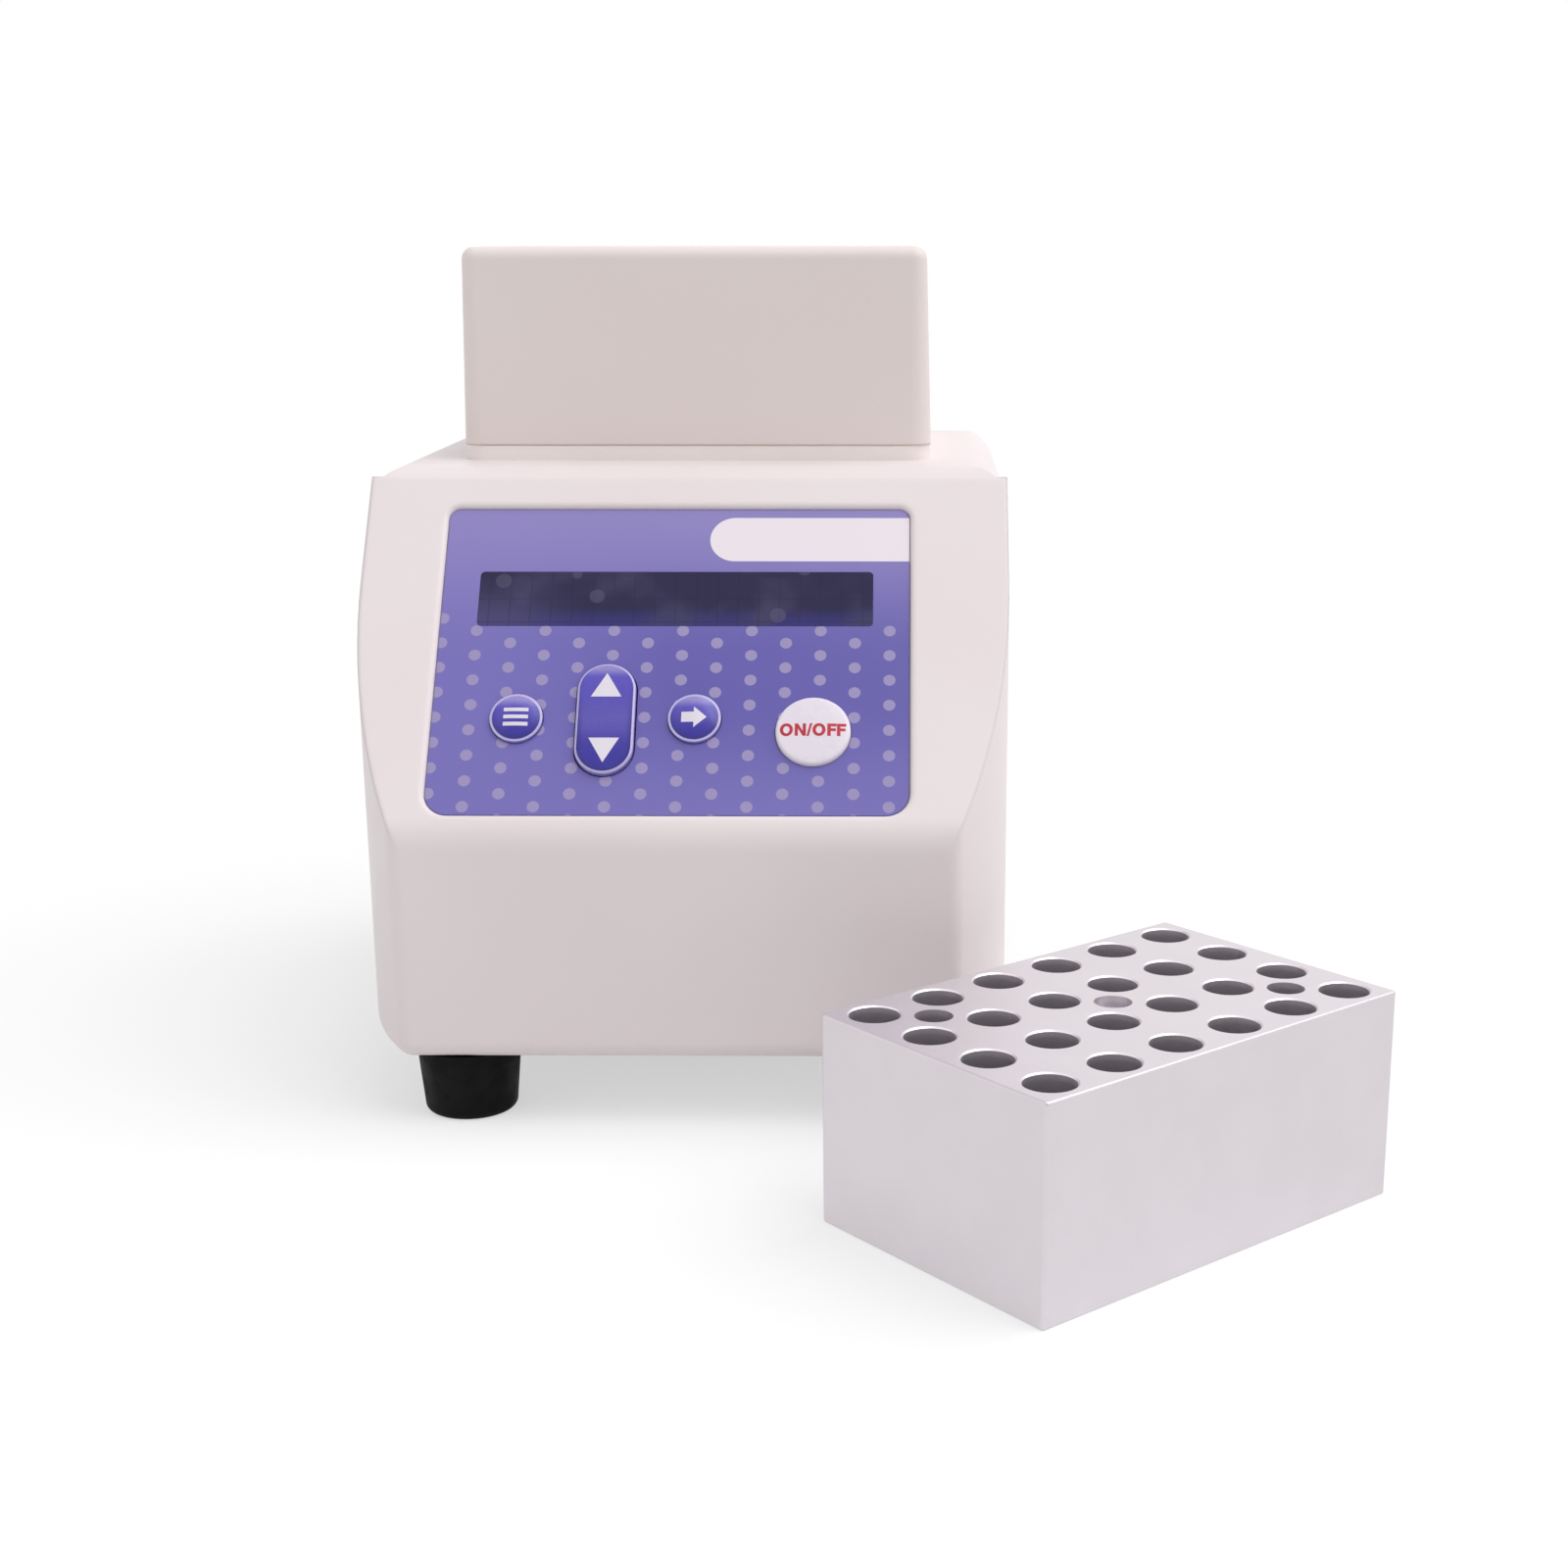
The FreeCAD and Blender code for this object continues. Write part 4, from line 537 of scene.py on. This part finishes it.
screen_glass = moulded(
    "screen_glass", colour(40, 44, 50), colour(52, 57, 64), gloss=(0.05, 0.12), grain=300.0, cloud=50.0
)
dress(screen_glass, "lcd_glass")


# Blue keys. Two round keys and one pill-shaped rocker, moulded in clear plastic and printed beneath.
# Each is dark blue with a white sign on its face; its paler top and the pale line round its rim are painted
# highlights.

RIM = 0.42
KEY_RADIUS = 4.5
KEY_CROWN = 0.5
PROGRAM_MIDDLE = (-26.1, -11.8)
NEXT_MIDDLE = (4.15, -11.8)
ROCKER_MIDDLE = (-10.95, -12.0)
ROCKER_RADIUS = 5.0
ROCKER_RUN = 5.4


def blue_key(name, middle, radius, run=0.0):
    """A key's finish: a round of a radius about a middle on the panel, drawn out by a run up and down."""
    material, tree, shader = new_finish(name, {"IOR": 1.5, "Coat Weight": 0.2, "Coat Roughness": 0.08})
    place = panel_place(tree, *middle)
    height = node(tree, "SeparateXYZ", {0: place}).outputs["Y"]
    away = reach(tree, place, 0.0, run)
    inner = radius - RIM
    top = run + inner
    # Painted highlight: the face goes from deep blue at the bottom to paler at the top.
    face = mixed(tree, eased(tree, height, -top, top), colour(34, 20, 150), colour(86, 73, 188))
    # Painted light: a paler band across the rocker's middle, where its dished face would catch the light.
    painted_waist_light = worked(tree, "MULTIPLY", eased(tree, worked(tree, "ABSOLUTE", height), run, 0.0), 0.8)
    face = mixed(tree, painted_waist_light, face, colour(92, 81, 178))
    # Painted highlight: a pale band just under the top of the face.
    painted_highlight = worked(tree, "MULTIPLY", eased(tree, height, top - 2.4, top - 0.3), 0.85)
    face = mixed(tree, painted_highlight, face, colour(158, 148, 208))
    shade = worked(tree, "MULTIPLY", eased(tree, away, inner - 1.1, inner), eased(tree, height, top, -top))
    face = mixed(tree, shade, face, colour(28, 16, 122))
    # Painted highlight: the rounded rim is pale all round.
    face = mixed(tree, eased(tree, away, inner - 0.04, inner + 0.04), face, colour(188, 180, 224))
    # Painted light: the side wall under the rim is lightened so that its shade reads less dark.
    face = mixed(tree, eased(tree, away, radius - 0.06, radius - 0.01), face, colour(142, 132, 204))
    marks = grouped(tree, mould_marks, {"Place": place_of(tree), "Grain": 900.0, "Cloud": 90.0})
    feed(
        tree,
        shader,
        Base_Color=face,
        Roughness=eased(tree, marks["Gloss Patches"], 0.0, 1.0, 0.2, 0.32),
        Normal=bumped(tree, marks["Height"], 0.06, 0.00002),
    )
    return material


dress(blue_key("key_blue_program", PROGRAM_MIDDLE, KEY_RADIUS), "key_program")
dress(blue_key("key_blue_next", NEXT_MIDDLE, KEY_RADIUS), "key_next")
dress(blue_key("key_blue_rocker", ROCKER_MIDDLE, ROCKER_RADIUS, ROCKER_RUN), "arrow_rocker")

KEY_FACE = 0.4
PRINT_THICK = 0.03
LONG_EDGE = 0.6
to_panel = Matrix.Translation(PANEL_MIDDLE) @ Matrix.Rotation(PANEL_TURN, 4, "X")
to_panel = to_panel @ Matrix.Scale(MILLIMETRE, 4)


def dome_face(radius, rise):
    """The height of a domed key's face over the panel, from how far out a point lies."""
    ball = (radius ** 2 + rise ** 2) / (2 * rise)
    return lambda out: KEY_FACE - ball + (ball ** 2 - out ** 2) ** 0.5


def printed_sign(name, shape, middle, face, material, body):
    """Lays a flat sign, drawn about the middle of its key, on the key's face as a thin print."""
    bmesh.ops.triangulate(shape, faces=shape.faces)
    long_edges = [edge for edge in shape.edges if edge.calc_length() > LONG_EDGE]
    bmesh.ops.subdivide_edges(shape, edges=long_edges, cuts=3)
    bmesh.ops.triangulate(shape, faces=shape.faces)
    for vert in shape.verts:
        vert.co.z = face(vert.co.xy.length) - PRINT_THICK
    bmesh.ops.recalc_face_normals(shape, faces=shape.faces)
    lifted = bmesh.ops.extrude_face_region(shape, geom=shape.faces[:], use_keep_orig=True)
    bmesh.ops.translate(shape, verts=verts_of(lifted), vec=(0.0, 0.0, 2 * PRINT_THICK))
    bmesh.ops.recalc_face_normals(shape, faces=shape.faces)
    bmesh.ops.translate(shape, verts=shape.verts, vec=(*middle, 0.0))
    bmesh.ops.transform(shape, matrix=to_panel, verts=shape.verts)
    return finished_piece(name, shape, material, body)


def outlined(*outlines):
    """A flat shape with one face for each outline of points."""
    shape = bmesh.new()
    for points in outlines:
        shape.faces.new([shape.verts.new((x, y, 0.0)) for x, y in points])
    shape.normal_update()
    return shape


def bar(y):
    """The outline of a bar of the list sign, whose middle lies at a height."""
    half_long = 2.1
    half_thick = 0.34
    return (
        (-half_long, y - half_thick), (half_long, y - half_thick),
        (half_long, y + half_thick), (-half_long, y + half_thick),
    )


sign_white = moulded(
    "sign_white", colour(226, 219, 232), colour(232, 226, 237), gloss=(0.3, 0.4), grain=1500.0, cloud=90.0
)
small_dome = dome_face(KEY_RADIUS, KEY_CROWN)
list_sign = outlined(bar(-1.35), bar(0.0), bar(1.35))
printed_sign("sign_program", list_sign, PROGRAM_MIDDLE, small_dome, sign_white, "program_key")
arrow_sign = outlined(
    ((-2.2, -0.95), (-0.1, -0.95), (-0.1, -1.95), (2.1, 0.0), (-0.1, 1.95), (-0.1, 0.95), (-2.2, 0.95))
)
printed_sign("sign_next", arrow_sign, NEXT_MIDDLE, small_dome, sign_white, "next_key")
up_and_down = outlined(
    ((-2.6, 4.0), (2.6, 4.0), (0.0, 8.5)),
    ((0.0, -8.4), (2.6, -3.8), (-2.6, -3.8)),
)


def flat_face(out):
    """The height of the rocker's face over the panel, which is the same all over."""
    return KEY_FACE


printed_sign("sign_up_down", up_and_down, ROCKER_MIDDLE, flat_face, sign_white, "rocker_key")


# Power key. A larger white key with a soft edge that starts and stops the heater, set apart to the right.
# It is moulded in white plastic with a lip to hold it behind the panel, and ON/OFF is printed on it in red.

POWER_MIDDLE = (24.3, -14.2)
POWER_FLAT = 5.75
POWER_CROWN = 0.2
SOFT_EDGE = 0.65
EDGE_START = -0.45
WALL_RADIUS = 6.4
LIP_RADIUS = 7.6
LIP_TOP = -3.8
LIP_FOOT = -4.6
key_white = moulded(
    "key_white", colour(233, 225, 236), colour(239, 231, 241), gloss=(0.22, 0.32), grain=1500.0, cloud=60.0
)
power_face = dome_face(POWER_FLAT, POWER_CROWN)
lathe = bmesh.new()
half_section = [(0.0, LIP_FOOT), (LIP_RADIUS, LIP_FOOT), (LIP_RADIUS, LIP_TOP)]
half_section += [(WALL_RADIUS, LIP_TOP), (WALL_RADIUS, EDGE_START)]
for turn in map(radians, range(15, 90, 15)):
    half_section.append((POWER_FLAT + SOFT_EDGE * cos(turn), EDGE_START + SOFT_EDGE * sin(turn)))
half_section += [(out, power_face(out)) for out in (POWER_FLAT, 5.0, 4.0, 3.0, 2.0, 1.0, 0.0)]
points = [lathe.verts.new((out, 0.0, up)) for out, up in half_section]
edges = [lathe.edges.new(pair) for pair in zip(points, points[1:])]
bmesh.ops.spin(
    lathe, geom=points + edges, cent=(0.0, 0.0, 0.0), axis=(0.0, 0.0, 1.0), dvec=(0.0, 0.0, 0.0),
    angle=radians(360), steps=72, use_merge=True,
)
bmesh.ops.remove_doubles(lathe, verts=lathe.verts, dist=0.0005)
bmesh.ops.recalc_face_normals(lathe, faces=lathe.faces)
bmesh.ops.translate(lathe, verts=lathe.verts, vec=(*POWER_MIDDLE, 0.0))
bmesh.ops.transform(lathe, matrix=to_panel, verts=lathe.verts)
power_cap = finished_piece("detailed_key_power", lathe, key_white, "power_key")
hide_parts("key_power")

LETTER_TOP = 1.15
STEM = 0.58
OUTER_OVAL = (1.1, 1.2)
INNER_OVAL = (0.54, 0.7)


def add_letter_o(shape, x):
    """Adds a letter O about x: two ovals with a face between them."""
    for wide, tall in (OUTER_OVAL, INNER_OVAL):
        place = Matrix.Translation((x, 0.0, 0.0)) @ Matrix.Diagonal((wide, tall, 1.0, 1.0))
        bmesh.ops.create_circle(shape, cap_ends=False, segments=30, radius=1.0, matrix=place)
    ovals = [edge for edge in shape.edges if not edge.link_faces]
    bmesh.ops.bridge_loops(shape, edges=ovals)


def letter_f(x):
    """A letter F whose stem starts at x."""
    corners = ((0, -LETTER_TOP), (STEM, -LETTER_TOP), (STEM, -0.25), (1.44, -0.25), (1.44, 0.26))
    corners += ((STEM, 0.26), (STEM, 0.63), (1.56, 0.63), (1.56, LETTER_TOP), (0, LETTER_TOP))
    return [(x + across, up) for across, up in corners]


letter_n = ((-3.08, -LETTER_TOP), (-2.55, -LETTER_TOP), (-2.55, 0.28), (-1.74, -LETTER_TOP))
letter_n += ((-1.2, -LETTER_TOP), (-1.2, LETTER_TOP), (-1.73, LETTER_TOP), (-1.73, -0.28))
letter_n += ((-2.54, LETTER_TOP), (-3.08, LETTER_TOP))
slash = ((-1.08, -1.2), (-0.7, -1.2), (-0.12, 1.2), (-0.5, 1.2))
on_off = outlined(letter_n, slash, letter_f(2.42), letter_f(4.05))
for x in (-4.5, 1.02):
    add_letter_o(on_off, x)
print_red = moulded(
    "print_red", colour(186, 26, 50), colour(196, 34, 58), gloss=(0.3, 0.4), grain=1500.0, cloud=120.0
)
printed_sign("sign_power", on_off, POWER_MIDDLE, power_face, print_red, "power_key")


# Power inlet. A black barrel socket in the back wall, with a plated pin standing in the middle of its bore.
# Its flange bears on the wall from outside, and a plated hexagon nut draws it up from inside.

INLET_AXIS = (-0.0365, 0.0, 0.036)
PIN_RADIUS = 0.0015
PIN_BLUR = 0.0001
inlet_black, tree, shader = new_finish("inlet_black", {"IOR": 1.5})
place = place_of(tree)
from_axis = node(tree, "VectorMath", {0: place, 1: INLET_AXIS}, operation="SUBTRACT").outputs[0]
from_axis = node(tree, "VectorMath", {0: from_axis, 1: (1.0, 0.0, 1.0)}, operation="MULTIPLY").outputs[0]
from_axis = node(tree, "VectorMath", {0: from_axis}, operation="LENGTH").outputs["Value"]
pin = eased(tree, from_axis, PIN_RADIUS + PIN_BLUR, PIN_RADIUS - PIN_BLUR)
marks = grouped(tree, mould_marks, {"Place": place, "Grain": 2200.0, "Cloud": 60.0})
black = mixed(tree, marks["Clouding"], colour(20, 20, 22), colour(30, 30, 32))
feed(
    tree,
    shader,
    Base_Color=mixed(tree, pin, black, colour(200, 200, 202)),
    Metallic=pin,
    Roughness=eased(tree, marks["Gloss Patches"], 0.0, 1.0, 0.3, 0.45),
    Normal=bumped(tree, marks["Height"], 0.2, 0.00003, 0.0004),
)
dress(inlet_black, "dc_inlet")
dress(steel, "inlet_nut")


# Hinge. A white moulded strip with four lugs, screwed to the back of the deck, with a steel pin in them.
# The lid's ears turn on the pin between the lugs.

HEAD_UP = 0.0
HINGE_SCREW_LINE = (59.5, 109.6)
dress(casing_plastic, "hinge_bracket")
dress(steel, "hinge_pin")
hinge_spots = [(x, *HINGE_SCREW_LINE) for x in (-24.0, -6.0, 6.0, 24.0)]
screws("hinge_screws", "heater", hinge_spots, HEAD_UP, head=(1.9, 1.0), shank=(1.0, 5.0))


# Lid. A tall drafted cover of the same white plastic, with a frame, a warm plate and foam inside.
# The frame and the plate are held up into the cover by four long screws.

LID_MIDDLE = 24.5
lid_plastic = moulded(
    "lid_plastic", colour(234, 222, 219), colour(238, 227, 224), gloss=(0.42, 0.52), cloud=12.0, edge=0.0006
)
silicone_orange = moulded(
    "silicone_orange", colour(196, 84, 40), colour(214, 100, 52),
    gloss=(0.6, 0.75), grain=1000.0, cloud=60.0,
)
dress(lid_plastic, "lid_shell", "lid_frame")
dress(plate_aluminium, "lid_heater_plate")
dress(silicone_orange, "lid_heater_mat")
dress(foam_dark, "lid_insulation")
lid_spots = four(37.7, 25.7, 111.6, LID_MIDDLE)
screws("lid_screws", "lid", lid_spots, HEAD_DOWN, head=(1.8, 1.6), shank=(1.0, 16.1))


# Lid seal. A thin pale silicone strip, glued round the foot of the cover, on which it closes.
# Only its edge is seen, as a faint line between the cover and the collar.

SEAL_HALF = (42.8, 30.8)
SEAL_CORNER = 3.3
SEAL_WIDTH = 1.6
SEAL_THICK = 0.16
SEAL_FOOT = 110.22
seal_pale = moulded(
    "seal_pale", colour(226, 210, 192), colour(232, 218, 202), gloss=(0.55, 0.7), grain=1200.0, cloud=60.0
)
strip = bmesh.new()
outline = Matrix.Diagonal((*SEAL_HALF, 1.0, 1.0))
bmesh.ops.create_grid(strip, x_segments=1, y_segments=1, size=1.0, matrix=outline)
bmesh.ops.bevel(
    strip, geom=strip.verts[:], offset=SEAL_CORNER, segments=6, profile=0.5, affect="VERTICES", material=-1
)
inside = strip.faces[:]
bmesh.ops.inset_region(strip, faces=inside, thickness=SEAL_WIDTH, use_boundary=True, use_even_offset=True)
bmesh.ops.delete(strip, geom=inside, context="FACES")
lifted = bmesh.ops.extrude_face_region(strip, geom=strip.faces[:], use_keep_orig=True)
bmesh.ops.translate(strip, verts=verts_of(lifted), vec=(0.0, 0.0, SEAL_THICK))
bmesh.ops.recalc_face_normals(strip, faces=strip.faces)
bmesh.ops.translate(strip, verts=strip.verts, vec=(0.0, LID_MIDDLE, SEAL_FOOT))
bmesh.ops.scale(strip, verts=strip.verts, vec=IN_MILLIMETRES)
finished_piece("lid_seal", strip, seal_pale, "lid")


# Tube block. Solid aluminium, drilled with six rows of four tube wells and two smaller probe wells.
# It is bead-blasted and clear anodised, satin all over, with its edges broken; its broken edges and its
# wells are darkened by painted shade.

BLOCK_TOP_MIDDLE = (0.07037, -0.09909, 0.034)
BLOCK_TURN = radians(40.52)
BLOCK_HALF = (37.7, 24.65)
BLOCK_EDGE = 0.4
block_aluminium, tree, shader = new_finish("block_aluminium", {"Metallic": 1.0})
place = node(tree, "Mapping", {
    "Vector": place_of(tree),
    "Location": BLOCK_TOP_MIDDLE,
    "Rotation": (0.0, 0.0, BLOCK_TURN),
    "Scale": IN_MILLIMETRES,
}, vector_type="TEXTURE").outputs[0]
above = node(tree, "SeparateXYZ", {0: place}).outputs["Z"]
beyond = reach(tree, place, BLOCK_HALF[0] - BLOCK_EDGE, BLOCK_HALF[1] - BLOCK_EDGE)
marks = grouped(tree, metal_grain, {"Place": place_of(tree), "Scale": 5000.0})
skin = mixed(tree, marks["Stains"], colour(217, 211, 216), colour(219, 213, 218))
# Painted shade: the broken edges along the top are darkened, to damp their highlight.
painted_edge_shade = eased(tree, beyond, 0.1 * BLOCK_EDGE, 0.4 * BLOCK_EDGE)
before_side = eased(tree, beyond, 0.99 * BLOCK_EDGE, 0.85 * BLOCK_EDGE)
painted_edge_shade = worked(tree, "MULTIPLY", painted_edge_shade, before_side)
painted_edge_shade = worked(tree, "MULTIPLY", painted_edge_shade, eased(tree, above, -0.6, -0.4))
skin = mixed(tree, painted_edge_shade, skin, colour(198, 192, 197))
# Painted shade: the walls and floors of the wells are darkened.
painted_well_shade = worked(tree, "MULTIPLY", eased(tree, beyond, 0.3, 0.0), eased(tree, above, -0.6, -1.4))
skin = mixed(tree, painted_well_shade, skin, colour(196, 190, 197))
feed(
    tree,
    shader,
    Base_Color=skin,
    Roughness=eased(tree, marks["Height"], *NOISE_SPAN, 0.42, 0.48),
    Normal=bumped(tree, marks["Height"], 0.2, 0.00002),
)
dress(block_aluminium, "tube_block")


# Bench, light and camera. A pale bench top, which fades to white away from the object.
# One broad lamp hangs over it to the right, a weak one stands at the left, and the white room does
# the rest.

WHITE = (1.0, 1.0, 1.0, 1.0)
BENCH_HALF = 6.0
BENCH_GLOW = 0.2
FADE_START = 0.3
FADE_END = 0.8
FADE_NEAR = 0.45
ROOM_LIGHT = 0.475


def shown_rays(tree):
    """1 for the rays that show a background: straight on, off something glossy or through glass."""
    rays = node(tree, "LightPath").outputs
    shown = worked(tree, "MAXIMUM", rays["Is Camera Ray"], rays["Is Glossy Ray"])
    return worked(tree, "MAXIMUM", shown, rays["Is Transmission Ray"])


bench_shape = bmesh.new()
bmesh.ops.create_grid(bench_shape, x_segments=1, y_segments=1, size=BENCH_HALF)
bench_mesh = bpy.data.meshes.new("bench")
bench_shape.to_mesh(bench_mesh)
bench_shape.free()
bench_top = moulded(
    "bench_top", colour(229, 229, 229), colour(232, 232, 232), gloss=(0.8, 0.9), grain=400.0, cloud=2.0
)
bench_mesh.materials.append(bench_top)
tree = bench_top.node_tree
shader = tree.nodes["Principled BSDF"]
shader.inputs["Specular IOR Level"].default_value = 0.0
shader.inputs["Emission Color"].default_value = WHITE
away = node(tree, "VectorMath", {0: place_of(tree)}, operation="LENGTH").outputs["Value"]
shown = shown_rays(tree)
feed(tree, shader, Emission_Strength=worked(tree, "MULTIPLY", shown, BENCH_GLOW))
white = node(tree, "Emission", {"Color": WHITE, "Strength": 1.0})
faded = worked(tree, "MULTIPLY", shown, eased(tree, away, FADE_START, FADE_END, FADE_NEAR))
both = node(tree, "MixShader", {0: faded, 1: shader.outputs[0], 2: white.outputs[0]})
tree.links.new(both.outputs[0], tree.nodes["Material Output"].inputs["Surface"])
bench = bpy.data.objects.new("bench", bench_mesh)
bpy.context.scene.collection.objects.link(bench)

world = bpy.data.worlds.new("studio")
world.use_nodes = True
bpy.context.scene.world = world
tree = world.node_tree
light = tree.nodes["Background"]
light.inputs["Color"].default_value = WHITE
light.inputs["Strength"].default_value = ROOM_LIGHT
seen = node(tree, "Background", {"Color": WHITE, "Strength": 1.0})
both = node(tree, "MixShader", {0: shown_rays(tree), 1: light.outputs[0], 2: seen.outputs[0]})
tree.links.new(both.outputs[0], tree.nodes["World Output"].inputs["Surface"])

# name, strength, spread in degrees, and the way its light goes
LAMPS = (
    ("overhead", 1.88, 60, (-0.5, 0.05, -0.86)),
    ("side_fill", 0.35, 90, (0.85, 0.1, -0.5)),
)
for name, strength, spread, towards in LAMPS:
    lamp = bpy.data.lights.new(name, "SUN")
    lamp.energy = strength
    lamp.angle = radians(spread)
    holder = bpy.data.objects.new(name, lamp)
    holder.rotation_euler = Vector(towards).to_track_quat("-Z", "Y").to_euler()
    bpy.context.scene.collection.objects.link(holder)

LOOKING_DOWN = 15.31
LOOKING_LEFT = 0.43
camera = bpy.data.cameras.new("camera")
camera.sensor_width = 36.0
camera.lens = 52.98
camera.shift_x = -0.0672
camera.shift_y = 0.0555
viewer = bpy.data.objects.new("camera", camera)
viewer.location = (0.03859, -0.43541, 0.1468)
viewer.rotation_euler = (radians(90 - LOOKING_DOWN), 0.0, radians(LOOKING_LEFT))
bpy.context.scene.collection.objects.link(viewer)
bpy.context.scene.camera = viewer
